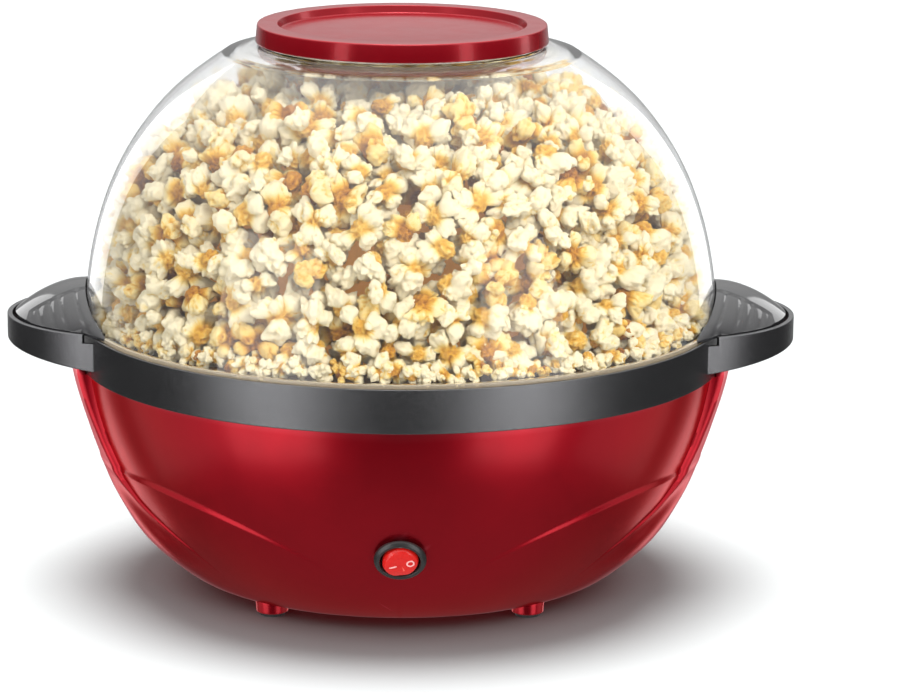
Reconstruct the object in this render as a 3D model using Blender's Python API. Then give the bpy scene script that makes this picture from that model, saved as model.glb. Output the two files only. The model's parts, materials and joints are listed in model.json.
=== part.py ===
"""Stirring popcorn maker: red base, black ring with two handles, heating plate with a
driven stirrer, clear dome with a butter well, and a snap-on cap.

Metres, +Z up. The origin is on the axis of the round body, at the level it stands on.
+X runs from handle to handle and -Y is the front, where the switch is.
"""

from math import atan2, cos, hypot, pi, radians, sin

import bmesh
import bpy
from mathutils import Matrix, Vector

# ---------------------------------------------------------------- driving dimensions

GAP = 0.0003                # left between pieces that touch or rest on each other
MERGE = 0.000001
SEGMENTS = 40               # sides of a large round piece
SMALL_SEGMENTS = 20         # sides of a motor, a knob or a bezel
FINE_SEGMENTS = 10          # sides of a screw or a post
NUT_SEGMENTS = 12           # two sides of the turned blank to each flat of a nut
SMOOTH_ANGLE = radians(35)

RING_RADIUS = 0.1565
RING_TOP = 0.1297
RING_BOTTOM = 0.1090
RING_WALL = 0.0034
HANDLE_TIP = 0.1919         # from the axis to the outer end of a handle
HANDLE_CENTRE = 0.1300
HANDLE_HALF_WIDTH = 0.0585
HANDLE_WALL = 0.0026
HANDLE_TOP = 0.1310
HANDLE_END_ANGLE = radians(77.4)

BASE_FLOOR = 0.0062         # underside of the bowl
BASE_FLOOR_RADIUS = 0.1017
BASE_WALL = 0.0025
SPIGOT_TOP = 0.1165         # lip of the bowl inside the ring
SPIGOT_RADIUS = 0.1522

DOME_RADIUS = 0.1534
DOME_CENTRE = 0.1315
DOME_WALL = 0.0025
DOME_SWELL = 0.0016         # how far the dome's shoulder stands out of a true ball
DOME_SEAT = 0.1284          # ledge in the ring that the dome's flange rests on
FLANGE_RADIUS = 0.1542
NECK_RADIUS = 0.0677
NECK_TOP = 0.2698
WELL_RADIUS = 0.0470
WELL_FLOOR = 0.2545
TAB_GAP = 0.0041            # from a handle's outer face in to the tab's outline
TAB_WALL = 0.0020
TAB_BASE = 0.1300
TAB_RISE = 0.0163           # ridge above the base where it leaves the dome
TAB_ROOT_HALF = 0.0650      # half of the width along the dome's wall

CAP_RADIUS = 0.0706
CAP_TOP = 0.2727
CAP_BOTTOM = 0.2640
CAP_SINK = 0.0037           # depth of the disc below the rim

PLATE_TOP = 0.1000
PLATE_UNDER = 0.0980
PLATE_FLANGE_TOP = 0.1248
PLATE_FLANGE_RADIUS = 0.1262

FOOT_X = 0.0608
FOOT_Y = 0.0760
FOOT_RADIUS = 0.0078
FOOT_BOTTOM = 0.0016
PAD_HEIGHT = 0.0013
POST_RADIUS = 0.0060
POST_TOP = 0.0802
POST_BORE = 0.0042
POST_SHOULDER = 0.0780

STANDOFF_CIRCLE = 0.0400
STANDOFF_ANGLES = (90, 210, 330)
BRACKET_TOP = 0.0637
BRACKET_THICKNESS = 0.0015
GEARBOX_BOTTOM = 0.0430
MOTOR_BOTTOM = 0.0200
SHIELD_BOTTOM = 0.0818
SHIELD_THICKNESS = 0.0010
ELEMENT_CIRCLE = 0.0700
ELEMENT_RADIUS = 0.0033

SHAFT_RADIUS = 0.0030
SHAFT_TOP = 0.1150
HUB_RADIUS = 0.0115
HUB_BOTTOM = 0.1035
HUB_TOP = 0.1240
ARM_RADIUS = 0.0018

SWITCH_HEIGHT = 0.0450      # middle of the bezel on the outside of the bowl
SWITCH_LEAN = radians(29)   # angle of its face from upright
BEZEL_RADIUS = 0.0123
SWITCH_BODY_RADIUS = 0.0100
ROCKER_RADIUS = 0.0084
ROCKER_REST = radians(8)    # tilt in the off position, and the same again in on

GLAND_HEIGHT = 0.0350
GLAND_LEAN = radians(35)
CORD_HOLE = 0.0037


# ---------------------------------------------------------------- helpers

def clear_scene():
    for old in list(bpy.data.objects):
        bpy.data.objects.remove(old, do_unlink=True)


def make_material(name, colour, roughness, metallic=0.0, alpha=1.0):
    material = bpy.data.materials.new(name)
    material.use_nodes = True
    shader = material.node_tree.nodes["Principled BSDF"]
    shader.inputs["Base Color"].default_value = (*colour, 1.0)
    shader.inputs["Roughness"].default_value = roughness
    shader.inputs["Metallic"].default_value = metallic
    shader.inputs["Alpha"].default_value = alpha
    material.diffuse_color = (*colour, alpha)
    return material


def make_object(name, bm, material=None, origin=(0, 0, 0)):
    """Turn a bmesh in world coordinates into an object with its own origin."""
    bmesh.ops.recalc_face_normals(bm, faces=bm.faces)
    bmesh.ops.translate(bm, vec=-Vector(origin), verts=bm.verts)
    mesh = bpy.data.meshes.new(name)
    bm.to_mesh(mesh)
    bm.free()
    obj = bpy.data.objects.new(name, mesh)
    obj.location = origin
    bpy.context.scene.collection.objects.link(obj)
    if material is None:
        obj.hide_render = True
        obj.display_type = "WIRE"
        return obj
    mesh.materials.append(material)
    mesh.shade_smooth()
    mesh.set_sharp_from_angle(angle=SMOOTH_ANGLE)
    return obj


def turned(profile, segments=SEGMENTS):
    """Closed body turned about Z from an outline of (radius, height) points."""
    bm = bmesh.new()
    verts = [bm.verts.new((radius, 0, height)) for radius, height in profile]
    edges = [bm.edges.new(pair) for pair in zip(verts, verts[1:])]
    if profile[0][0] > 0:
        edges.append(bm.edges.new((verts[-1], verts[0])))
    bmesh.ops.spin(bm, geom=verts + edges, cent=(0, 0, 0), axis=(0, 0, 1),
                   angle=2 * pi, steps=segments, use_merge=True)
    bmesh.ops.remove_doubles(bm, verts=bm.verts, dist=MERGE)
    return bm


def rod_profile(radius, bottom, top):
    return [(0, bottom), (radius, bottom), (radius, top), (0, top)]


def tube_profile(inner, outer, bottom, top):
    return [(outer, bottom), (outer, top), (inner, top), (inner, bottom)]


def nut_shape(hole, corner, bottom, top):
    """Hexagonal nut with a round hole: every other corner of the turned blank moves in to a flat."""
    bm = turned(tube_profile(hole, corner, bottom, top), NUT_SEGMENTS)
    for vert in bm.verts:
        corner_number = round(atan2(vert.co.y, vert.co.x) / (2 * pi / NUT_SEGMENTS))
        if corner_number % 2 and hypot(vert.co.x, vert.co.y) > (hole + corner) / 2:
            vert.co.xy *= cos(pi / 6)
    return bm


def box(low, high):
    bm = bmesh.new()
    middle = (Vector(low) + Vector(high)) / 2
    size = Vector(high) - Vector(low)
    bmesh.ops.create_cube(bm, size=1, matrix=Matrix.Translation(middle) @ Matrix.Diagonal((*size, 1)))
    return bm


def placed(bm, matrix):
    bmesh.ops.transform(bm, matrix=matrix, verts=bm.verts)
    return bm


def joined(parts):
    """Several separate bodies in one bmesh, for one cutter or one union."""
    target = bmesh.new()
    for part in parts:
        mesh = bpy.data.meshes.new("part")
        bmesh.ops.recalc_face_normals(part, faces=part.faces)
        part.to_mesh(mesh)
        part.free()
        target.from_mesh(mesh)
        bpy.data.meshes.remove(mesh)
    return target


def boolean(obj, bm, operation):
    """Add or cut a helper shape, given in world coordinates."""
    helper = make_object(f"{obj.name}_{operation.lower()}_{len(obj.modifiers)}", bm)
    modifier = obj.modifiers.new(operation.title(), "BOOLEAN")
    modifier.operation = operation
    modifier.solver = "EXACT"
    modifier.object = helper
    return obj


def bezier(start, control_1, control_2, end, steps):
    """Points of a cubic curve, both ends included."""
    points = []
    for step in range(steps + 1):
        t = step / steps
        weights = ((1 - t) ** 3, 3 * t * (1 - t) ** 2, 3 * t * t * (1 - t), t ** 3)
        corners = (start, control_1, control_2, end)
        points.append(tuple(sum(w * c[i] for w, c in zip(weights, corners)) for i in range(len(start))))
    return points


def arc(centre, radius, start, end, steps):
    """Points of an arc in the (radius, height) plane, angles in degrees from level."""
    points = []
    for step in range(steps + 1):
        angle = radians(start + (end - start) * step / steps)
        points.append((centre[0] + radius * cos(angle), centre[1] + radius * sin(angle)))
    return points


def smoothstep(low, high, value):
    t = min(max((value - low) / (high - low), 0.0), 1.0)
    return t * t * (3 - 2 * t)


def wire(name, points, radius, material, resolution=2):
    """Round wire along points, with filled ends."""
    curve = bpy.data.curves.new(name, "CURVE")
    curve.dimensions = "3D"
    curve.bevel_depth = radius
    curve.bevel_resolution = resolution
    curve.use_fill_caps = True
    spline = curve.splines.new("POLY")
    spline.points.add(len(points) - 1)
    origin = Vector(points[0])
    for point, place in zip(spline.points, points):
        point.co = (*(Vector(place) - origin), 1)
    curve.materials.append(material)
    obj = bpy.data.objects.new(name, curve)
    obj.location = origin
    bpy.context.scene.collection.objects.link(obj)
    return obj


def four_ways(x, y):
    """The four corners of a rectangle about the axis, with a name for each."""
    return {"front_left": (-x, -y), "front_right": (x, -y), "rear_left": (-x, y), "rear_right": (x, y)}


def ring_points(circle, angles_deg):
    return [(circle * cos(radians(a)), circle * sin(radians(a))) for a in angles_deg]


def wall_frame(side, height, lean):
    """Frame on the bowl's outside: local +Z points out of the wall, local +Y up along it.

    side is -1 for the front and +1 for the back.
    """
    outward = Vector((0, side * cos(lean), -sin(lean)))
    upward = Vector((0, side * sin(lean), cos(lean)))
    across = upward.cross(outward)
    matrix = Matrix((across, upward, outward)).transposed().to_4x4()
    matrix.translation = (0, side * bowl_radius(height), height)
    return matrix


# ---------------------------------------------------------------- base

def bowl_outline(steps=7):
    return bezier((BASE_FLOOR_RADIUS, BASE_FLOOR), (0.1157, BASE_FLOOR), (0.1490, 0.0608),
                  (0.1545, RING_BOTTOM - GAP), steps)


def bowl_radius(height):
    outline = bowl_outline(60)
    return min(outline, key=lambda point: abs(point[1] - height))[0]


def panel_swell(angle, height):
    """How far the raised panel under each handle stands out of the bowl."""
    from_side = min(abs(angle), pi - abs(angle))
    half_width = radians(20) + radians(20) * smoothstep(0.062, 0.016, height)
    across = smoothstep(half_width + radians(3), half_width - radians(3), from_side)
    depth = 0.0050 * smoothstep(0.004, 0.032, height) + 0.0012 * smoothstep(0.080, RING_BOTTOM, height)
    return across * depth


def foot_post_profile():
    return [(0, FOOT_BOTTOM), (FOOT_RADIUS, FOOT_BOTTOM), (FOOT_RADIUS, 0.0090),
            (POST_RADIUS, 0.0090), (POST_RADIUS, POST_TOP), (0, POST_TOP)]


def post_bore_profile():
    screw_hole = 0.0022
    return [(0, 0.0), (POST_BORE, 0.0), (POST_BORE, POST_SHOULDER), (screw_hole, POST_SHOULDER),
            (screw_hole, POST_TOP + 0.002), (0, POST_TOP + 0.002)]


def make_base_housing(material):
    outer = bowl_outline()
    inner = [(radius - BASE_WALL, height + BASE_WALL * smoothstep(0.06, 0.01, height))
             for radius, height in reversed(outer)]
    lip = [(SPIGOT_RADIUS, outer[-1][1]), (SPIGOT_RADIUS, SPIGOT_TOP),
           (SPIGOT_RADIUS - 0.0022, SPIGOT_TOP)]
    bm = turned([(0, BASE_FLOOR)] + outer + lip + inner + [(0, BASE_FLOOR + BASE_WALL)])
    for vert in bm.verts:
        radius = hypot(vert.co.x, vert.co.y)
        if radius > 0.05 and vert.co.z < RING_BOTTOM and abs(radius - SPIGOT_RADIUS) > MERGE:
            swell = panel_swell(atan2(vert.co.y, vert.co.x), vert.co.z)
            vert.co.xy *= (radius + swell) / radius
    housing = make_object("base_housing", bm, material)

    feet = four_ways(FOOT_X, FOOT_Y).values()
    boolean(housing, joined([placed(turned(foot_post_profile(), FINE_SEGMENTS),
                                    Matrix.Translation((x, y, 0))) for x, y in feet]), "UNION")
    bores = [placed(turned(post_bore_profile(), FINE_SEGMENTS), Matrix.Translation((x, y, 0)))
             for x, y in feet]
    switch_hole = placed(turned(rod_profile(SWITCH_BODY_RADIUS + 0.0004, -0.012, 0.012), SMALL_SEGMENTS),
                         wall_frame(-1, SWITCH_HEIGHT, SWITCH_LEAN))
    gland_hole = placed(turned(rod_profile(0.0071, -0.012, 0.012), SMALL_SEGMENTS),
                        wall_frame(1, GLAND_HEIGHT, GLAND_LEAN))
    slots = [box((x - 0.0015, -0.030, 0.0), (x + 0.0015, 0.030, 0.02))
             for x in (-0.032, -0.016, 0.0, 0.016, 0.032)]
    return boolean(housing, joined(bores + [switch_hole, gland_hole] + slots), "DIFFERENCE")


def make_foot_pads(material):
    """Rubber plugs that close the screw bores in the feet."""
    profile = [(0, 0), (0.0056, 0), (0.0062, 0.0004), (0.0062, PAD_HEIGHT), (0.0038, PAD_HEIGHT),
               (0.0034, 0.0060), (0, 0.0060)]
    for place, (x, y) in four_ways(FOOT_X, FOOT_Y).items():
        bm = placed(turned(profile, FINE_SEGMENTS), Matrix.Translation((x, y, 0)))
        make_object(f"foot_pad_{place}", bm, material, origin=(x, y, 0))


def make_base_screws(material):
    """Screws deep in the posts, up into the studs of the heating plate."""
    head_top = POST_SHOULDER - GAP
    profile = [(0, head_top - 0.0026), (0.0030, head_top - 0.0026), (0.0036, head_top - 0.0016),
               (0.0036, head_top), (0.0018, head_top), (0.0018, 0.0925), (0, 0.0932)]
    for place, (x, y) in four_ways(FOOT_X, FOOT_Y).items():
        bm = placed(turned(profile, FINE_SEGMENTS), Matrix.Translation((x, y, 0)))
        make_object(f"base_screw_{place}", bm, material, origin=(x, y, head_top))


# ---------------------------------------------------------------- ring and handles

def handle_bottom(turn):
    """Lower edge of a handle: deep beside the ring, shallow at the tip."""
    return 0.1194 - 0.0067 * (abs(turn) / HANDLE_END_ANGLE) ** 1.4


def handle_strip(side):
    """One D-handle as a bent strip; turn 0 is its tip."""
    notch = radians(70)
    turns = [-HANDLE_END_ANGLE, -notch, -notch] + [radians(a) for a in range(-64, 65, 16)]
    turns += [notch, notch, HANDLE_END_ANGLE]
    bm = bmesh.new()
    previous = None
    reach = HANDLE_TIP - HANDLE_CENTRE
    last = len(turns) - 1
    for index, turn in enumerate(turns):
        top = HANDLE_TOP - (0.0042 if index < 2 or index > last - 2 else 0.0)
        loop = []
        for inset, height in ((0, handle_bottom(turn)), (0, top), (HANDLE_WALL, top),
                              (HANDLE_WALL, handle_bottom(turn))):
            x = HANDLE_CENTRE + (reach - inset) * cos(turn)
            y = (HANDLE_HALF_WIDTH - inset) * sin(turn)
            loop.append(bm.verts.new((side * x, y, height)))
        if previous:
            for a in range(4):
                b = (a + 1) % 4
                corners = [previous[a], previous[b], loop[b], loop[a]]
                bm.faces.new(corners)
        else:
            bm.faces.new(loop)
        previous = loop
    bm.faces.new(previous)
    bmesh.ops.remove_doubles(bm, verts=bm.verts, dist=MERGE)
    bmesh.ops.dissolve_degenerate(bm, edges=bm.edges, dist=MERGE)
    return bm


def make_handle_ring(material):
    lip_inner = RING_RADIUS - 0.0018
    band_inner = RING_RADIUS - RING_WALL
    profile = [
        (RING_RADIUS, RING_BOTTOM), (RING_RADIUS, RING_TOP - 0.0004), (RING_RADIUS - 0.0004, RING_TOP),
        (lip_inner, RING_TOP), (lip_inner, DOME_SEAT), (0.1440, DOME_SEAT), (0.1275, 0.1252),
        (0.1275, 0.1230), (0.1215, 0.1230), (0.1215, 0.1205), (0.1290, 0.1205), (0.1440, 0.1259),
        (band_inner, 0.1259), (band_inner, RING_BOTTOM),
    ]
    ring = make_object("handle_ring", turned(profile), material)
    return boolean(ring, joined([handle_strip(1), handle_strip(-1)]), "UNION")


# ---------------------------------------------------------------- heating plate and what hangs from it

def make_heating_plate(material):
    top = ([(0.0076, PLATE_TOP + 0.0012), (0.0600, PLATE_TOP), (0.0900, PLATE_TOP)]
           + arc((0.0900, 0.1250), 0.0250, -70, -20, 3)
           + [(0.1190, PLATE_FLANGE_TOP), (PLATE_FLANGE_RADIUS, PLATE_FLANGE_TOP)])
    under = ([(PLATE_FLANGE_RADIUS, 0.1233), (0.1209, 0.1233), (0.1204, 0.1205)]
             + arc((0.0900, 0.1250), 0.0270, -18, -70, 3)
             + [(0.0900, PLATE_UNDER), (0.0076, PLATE_UNDER)])
    plate = make_object("heating_plate", turned(top + under), material)
    stud = [(0, POST_TOP + GAP), (0.0045, POST_TOP + GAP), (0.0045, 0.1000), (0, 0.1000)]
    pilot = rod_profile(0.0021, POST_TOP - 0.002, 0.0940)
    places = [Matrix.Translation((x, y, 0)) for x, y in four_ways(FOOT_X, FOOT_Y).values()]
    boolean(plate, joined([placed(turned(stud, FINE_SEGMENTS), place) for place in places]), "UNION")
    boolean(plate, joined([placed(turned(pilot, FINE_SEGMENTS), place) for place in places]), "DIFFERENCE")
    return plate


def make_heating_element(material):
    """C-shaped sheathed tube with both ends turned down, open side at the front."""
    height = PLATE_UNDER - GAP - ELEMENT_RADIUS
    turns = 22
    points = []
    for step in range(turns + 1):
        angle = radians(-68 + 316 * step / turns)
        points.append((ELEMENT_CIRCLE * cos(angle), ELEMENT_CIRCLE * sin(angle), height))
    first, last = Vector(points[0]), Vector(points[-1])
    drop = Vector((0, 0, -0.0065))
    inward = Vector((0, 0.004, 0))
    start = [first + drop * 2.2 - inward, first + drop * 0.6 - inward]
    end = [last + drop * 0.6 - inward, last + drop * 2.2 - inward]
    wire("heating_element", start + points + end, ELEMENT_RADIUS, material, resolution=1)


def make_shaft_bush(material, nut_material):
    bore = SHAFT_RADIUS + GAP
    under, over = 0.0925, PLATE_TOP + 0.0015
    profile = [(bore, under), (0.0070, under), (0.0070, over), (0.0105, over), (0.0105, over + 0.0008),
               (0.0098, over + 0.0013), (bore, over + 0.0013)]
    make_object("shaft_bush", turned(profile, SMALL_SEGMENTS), material)
    make_object("bush_nut", nut_shape(0.0076, 0.0120, 0.0938, PLATE_UNDER - GAP), nut_material)


def make_heat_shield(material):
    bottom, top = SHIELD_BOTTOM, SHIELD_BOTTOM + SHIELD_THICKNESS
    profile = [(0.0100, bottom), (0.0840, bottom), (0.0860, bottom - 0.0040), (0.0870, bottom - 0.0040),
               (0.0850, top), (0.0100, top)]
    shield = make_object("heat_shield", turned(profile, 36), material)
    holes = [placed(turned(rod_profile(0.0040, 0.07, 0.09), FINE_SEGMENTS), Matrix.Translation((x, y, 0)))
             for x, y in ring_points(STANDOFF_CIRCLE, STANDOFF_ANGLES)]
    element_end = ELEMENT_CIRCLE * cos(radians(-68))
    for x in (-element_end, element_end):
        y = ELEMENT_CIRCLE * sin(radians(-68)) - 0.004
        holes.append(box((x - 0.006, y - 0.006, 0.07), (x + 0.006, y + 0.006, 0.09)))
    return boolean(shield, joined(holes), "DIFFERENCE")


def make_thermostat(material):
    x, y, top = 0.0, -0.0430, PLATE_UNDER - GAP
    profile = [(0, 0.0870), (0.0070, 0.0870), (0.0070, 0.0925), (0.0090, 0.0925), (0.0090, top), (0, top)]
    body = make_object("thermostat", placed(turned(profile, 16), Matrix.Translation((x, y, 0))),
                       material, origin=(x, y, top))
    blades = [box((x + side * 0.0045 - 0.0003, y - 0.0030, 0.0836), (x + side * 0.0045 + 0.0003, y + 0.0030, 0.0880))
              for side in (-1, 1)]
    return boolean(body, joined(blades), "UNION")


def make_thermal_fuse(material):
    x, y = ring_points(0.0480, (30,))[0]
    profile = [(0, -0.0120), (0.0005, -0.0120), (0.0005, -0.0062), (0.0019, -0.0055), (0.0019, 0.0040),
               (0.0005, 0.0062), (0.0005, 0.0120), (0, 0.0120)]
    height = PLATE_UNDER - GAP - 0.0019
    matrix = (Matrix.Translation((x, y, height)) @ Matrix.Rotation(radians(30), 4, "Z")
              @ Matrix.Rotation(radians(90), 4, "X"))
    make_object("thermal_fuse", placed(turned(profile, FINE_SEGMENTS), matrix), material, origin=(x, y, height))


def make_standoffs(material, nut_material):
    """Pillars from the plate to the motor bracket; a collar on each carries the heat shield."""
    collar_top = SHIELD_BOTTOM - GAP
    profile = [(0, 0.0585), (0.0017, 0.0585), (0.0017, BRACKET_TOP + GAP), (0.0035, BRACKET_TOP + GAP),
               (0.0035, collar_top - 0.0015), (0.0056, collar_top - 0.0015), (0.0056, collar_top),
               (0.0035, collar_top), (0.0035, PLATE_UNDER - GAP), (0, PLATE_UNDER - GAP)]
    for number, (x, y) in enumerate(ring_points(STANDOFF_CIRCLE, STANDOFF_ANGLES), start=1):
        place = Matrix.Translation((x, y, 0))
        make_object(f"standoff_{number}", placed(turned(profile, FINE_SEGMENTS), place), material,
                    origin=(x, y, BRACKET_TOP))
        nut = nut_shape(0.0021, 0.0040, 0.0592, BRACKET_TOP - BRACKET_THICKNESS - GAP)
        make_object(f"standoff_nut_{number}", placed(nut, place), nut_material, origin=(x, y, BRACKET_TOP))


def make_motor_bracket(material):
    bottom = BRACKET_TOP - BRACKET_THICKNESS
    bracket = make_object("motor_bracket", turned(tube_profile(0.0090, 0.0480, bottom, BRACKET_TOP), 36), material)
    holes = [(0.0021, place) for place in ring_points(STANDOFF_CIRCLE, STANDOFF_ANGLES)]
    holes += [(0.0021, place) for place in ring_points(0.0220, (0, 180))]
    cutters = [placed(turned(rod_profile(radius, 0.06, 0.07), FINE_SEGMENTS), Matrix.Translation((x, y, 0)))
               for radius, (x, y) in holes]
    return boolean(bracket, joined(cutters), "DIFFERENCE")


def make_gearmotor(gearbox_material, can_material, screw_material):
    top = BRACKET_TOP - BRACKET_THICKNESS - GAP
    bore = SHAFT_RADIUS + GAP
    profile = [(0, GEARBOX_BOTTOM), (0.0300, GEARBOX_BOTTOM), (0.0300, top), (0.0080, top),
               (0.0080, 0.0670), (bore, 0.0670), (bore, 0.0520), (0, 0.0520)]
    gearbox = make_object("gearbox", turned(profile, SMALL_SEGMENTS), gearbox_material)
    holes = [placed(turned(rod_profile(0.0021, 0.054, 0.07), FINE_SEGMENTS), Matrix.Translation((x, y, 0)))
             for x, y in ring_points(0.0220, (0, 180))]
    boolean(gearbox, joined(holes), "DIFFERENCE")

    can_top = GEARBOX_BOTTOM - GAP
    can = [(0, MOTOR_BOTTOM), (0.0230, MOTOR_BOTTOM), (0.0250, MOTOR_BOTTOM + 0.002), (0.0250, can_top), (0, can_top)]
    make_object("motor_can", turned(can, SMALL_SEGMENTS), can_material)

    head_bottom = BRACKET_TOP + GAP
    screw = [(0, 0.0560), (0.0018, 0.0560), (0.0018, head_bottom), (0.0036, head_bottom),
             (0.0036, head_bottom + 0.0016), (0.0026, head_bottom + 0.0024), (0, head_bottom + 0.0024)]
    for number, (x, y) in enumerate(ring_points(0.0220, (0, 180)), start=1):
        make_object(f"motor_screw_{number}", placed(turned(screw, FINE_SEGMENTS), Matrix.Translation((x, y, 0))),
                    screw_material, origin=(x, y, head_bottom))


# ---------------------------------------------------------------- drive shaft and stirrer

def flatted(radius, bottom, top, flat, flat_bottom):
    """Round shaft with a flat on its +Y side above flat_bottom."""
    shaft = turned(rod_profile(radius, bottom, top), 16)
    bmesh.ops.bisect_plane(shaft, geom=shaft.verts[:] + shaft.edges[:] + shaft.faces[:],
                           plane_co=(0, 0, flat_bottom), plane_no=(0, 0, 1))
    for vert in shaft.verts:
        if vert.co.z > flat_bottom - MERGE:
            vert.co.y = min(vert.co.y, flat)
    bmesh.ops.remove_doubles(shaft, verts=shaft.verts, dist=MERGE)
    return shaft


def make_drive_shaft(material):
    shaft = flatted(SHAFT_RADIUS, 0.0530, SHAFT_TOP, SHAFT_RADIUS * 0.6, 0.1050)
    make_object("drive_shaft", shaft, material, origin=(0, 0, PLATE_TOP))


def arm_route():
    """From its socket in the hub, out just above the plate, then up along the plate's wall."""
    level, low = 0.1085, 0.1045
    elbow = (0.066, 0.016, low)
    return ([(0.0066, 0, level)]
            + bezier((0.0135, 0, level), (0.0300, 0, level), (0.0400, 0.0200, low), elbow, 6)
            + bezier(elbow, (0.0880, 0.0130, low), (0.1000, 0.0040, 0.1070), (0.1105, -0.0040, 0.1205), 6)[1:])


def make_stirrer(hub_material, arm_material):
    profile = [(0, HUB_BOTTOM), (0.0105, HUB_BOTTOM), (HUB_RADIUS, HUB_BOTTOM + 0.001), (HUB_RADIUS, 0.1130),
               (0.0085, 0.1160), (0.0080, 0.1200), (0.0065, 0.1230), (0.0030, HUB_TOP), (0, HUB_TOP)]
    hub = make_object("stirrer_hub", turned(profile, SMALL_SEGMENTS), hub_material, origin=(0, 0, HUB_BOTTOM))
    socket = flatted(SHAFT_RADIUS + 0.0004, HUB_BOTTOM - 0.003, SHAFT_TOP + 0.0006,
                     SHAFT_RADIUS * 0.6 + 0.0004, 0.1045)
    lead_in = rod_profile(ARM_RADIUS + 0.0004, 0.0062, 0.0140)
    turn_over = Matrix.Translation((0, 0, 0.1085)) @ Matrix.Rotation(radians(90), 4, "Y")
    sockets = [placed(turned(lead_in, FINE_SEGMENTS), Matrix.Rotation(turn, 4, "Z") @ turn_over)
               for turn in (0, pi)]
    boolean(hub, joined([socket] + sockets), "DIFFERENCE")
    for number, turn in enumerate((1, -1), start=1):
        points = [(turn * x, turn * y, z) for x, y, z in arm_route()]
        wire(f"stirrer_arm_{number}", points, ARM_RADIUS, arm_material, resolution=1)


# ---------------------------------------------------------------- dome and cap

def tab_outline(across, inset):
    """Where the tab ends under the handle's rim; across runs from -1 to 1 over its width."""
    corner = 0.8
    corner_turn = radians(68)
    size = abs(across)
    turn = corner_turn * min(size, corner) / corner
    place = Vector((HANDLE_CENTRE + (HANDLE_TIP - HANDLE_CENTRE - TAB_GAP - inset) * cos(turn),
                    (HANDLE_HALF_WIDTH - TAB_GAP - inset) * sin(turn)))
    if size > corner:
        place = place.lerp(tab_root(1, inset, 0.0006), (size - corner) / (1 - corner))
    place.y *= 1 if across >= 0 else -1
    return place


def tab_root(across, inset, outside=0.0):
    """Where the tab leaves the dome, in the middle of the dome's wall."""
    radius = DOME_RADIUS - DOME_WALL / 2 + outside
    y = (TAB_ROOT_HALF - inset) * across
    return Vector(((radius ** 2 - y ** 2) ** 0.5, y))


def tab_surface(side, inset):
    """Rows of points over one face of a tab, from its root on the dome to its outline."""
    rows = []
    for reach in (0.0, 0.25, 0.5, 0.7, 0.85, 0.95, 1.0):
        row = []
        for column in range(-6, 7):
            across = column / 6
            place = tab_root(across, inset).lerp(tab_outline(across, inset), reach)
            crown = 1 - abs(across) ** 1.4
            height = TAB_BASE + 0.0018 + (TAB_RISE - 0.0018) * crown * (1 - reach ** 2) - inset
            row.append((side * place.x, place.y, height))
        rows.append(row)
    rows.append([(x, y, TAB_BASE) for x, y, _ in rows[-1]])
    return rows


def tab_shell(side):
    """Hollow handle tab, open underneath, its root inside the dome's wall."""
    bm = bmesh.new()
    outer, inner = ([[bm.verts.new(point) for point in row] for row in tab_surface(side, inset)]
                    for inset in (0.0, TAB_WALL))
    for rows in (outer, inner):
        for row, following in zip(rows, rows[1:]):
            for corners in zip(row, row[1:], following[1:], following):
                bm.faces.new(corners)
    border = [[row[0] for row in rows] + rows[-1][1:-1] + [row[-1] for row in reversed(rows)]
              + rows[0][-2:0:-1] for rows in (outer, inner)]
    for corners in zip(border[0], border[0][1:] + border[0][:1], border[1][1:] + border[1][:1], border[1]):
        bm.faces.new(corners)
    return bm


def dome_line(inset, start, end, steps):
    """Outline of the dome's wall, a little fuller than a ball on its shoulder; angles from level."""
    points = []
    for step in range(steps + 1):
        turn = start + (end - start) * step / steps
        reach = DOME_RADIUS - inset + DOME_SWELL * smoothstep(8, 34, turn) * smoothstep(57, 40, turn)
        points.append((reach * cos(radians(turn)), DOME_CENTRE + reach * sin(radians(turn))))
    return points


def make_dome(material):
    flange_top = DOME_SEAT + GAP + DOME_WALL
    outside = ([(FLANGE_RADIUS, DOME_SEAT + GAP), (FLANGE_RADIUS, flange_top)]
               + dome_line(0, 0, 55, 7)
               + bezier((0.0820, 0.2592), (0.0755, 0.2615), (0.0690, 0.2612), (NECK_RADIUS, 0.2630), 3)
               + [(NECK_RADIUS, NECK_TOP)])
    well = [(0.0640, NECK_TOP), (0.0630, 0.2660), (WELL_RADIUS + 0.002, WELL_FLOOR + 0.001),
            (WELL_RADIUS, WELL_FLOOR), (0, WELL_FLOOR)]
    under = [(0, WELL_FLOOR - 0.0022), (WELL_RADIUS, WELL_FLOOR - 0.0022), (0.0500, WELL_FLOOR - 0.0010),
             (0.0622, 0.2640), (0.0655, 0.2640), (0.0665, 0.2605), (0.0740, 0.2590)]
    inside = dome_line(DOME_WALL, 57, 0, 7)
    foot = [(0.1495, DOME_CENTRE - 0.001), (0.1495, DOME_SEAT + GAP)]
    dome = make_object("dome", turned(under + inside + foot + outside + well), material,
                       origin=(0, 0, DOME_SEAT))
    boolean(dome, joined([tab_shell(1), tab_shell(-1)]), "UNION")
    butter_hole = rod_profile(0.0025, WELL_FLOOR - 0.006, WELL_FLOOR + 0.004)
    holes = [placed(turned(butter_hole, 8), Matrix.Translation((x, y, 0)))
             for x, y in ring_points(0.0320, range(0, 360, 45))]
    return boolean(dome, joined(holes), "DIFFERENCE")


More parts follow.
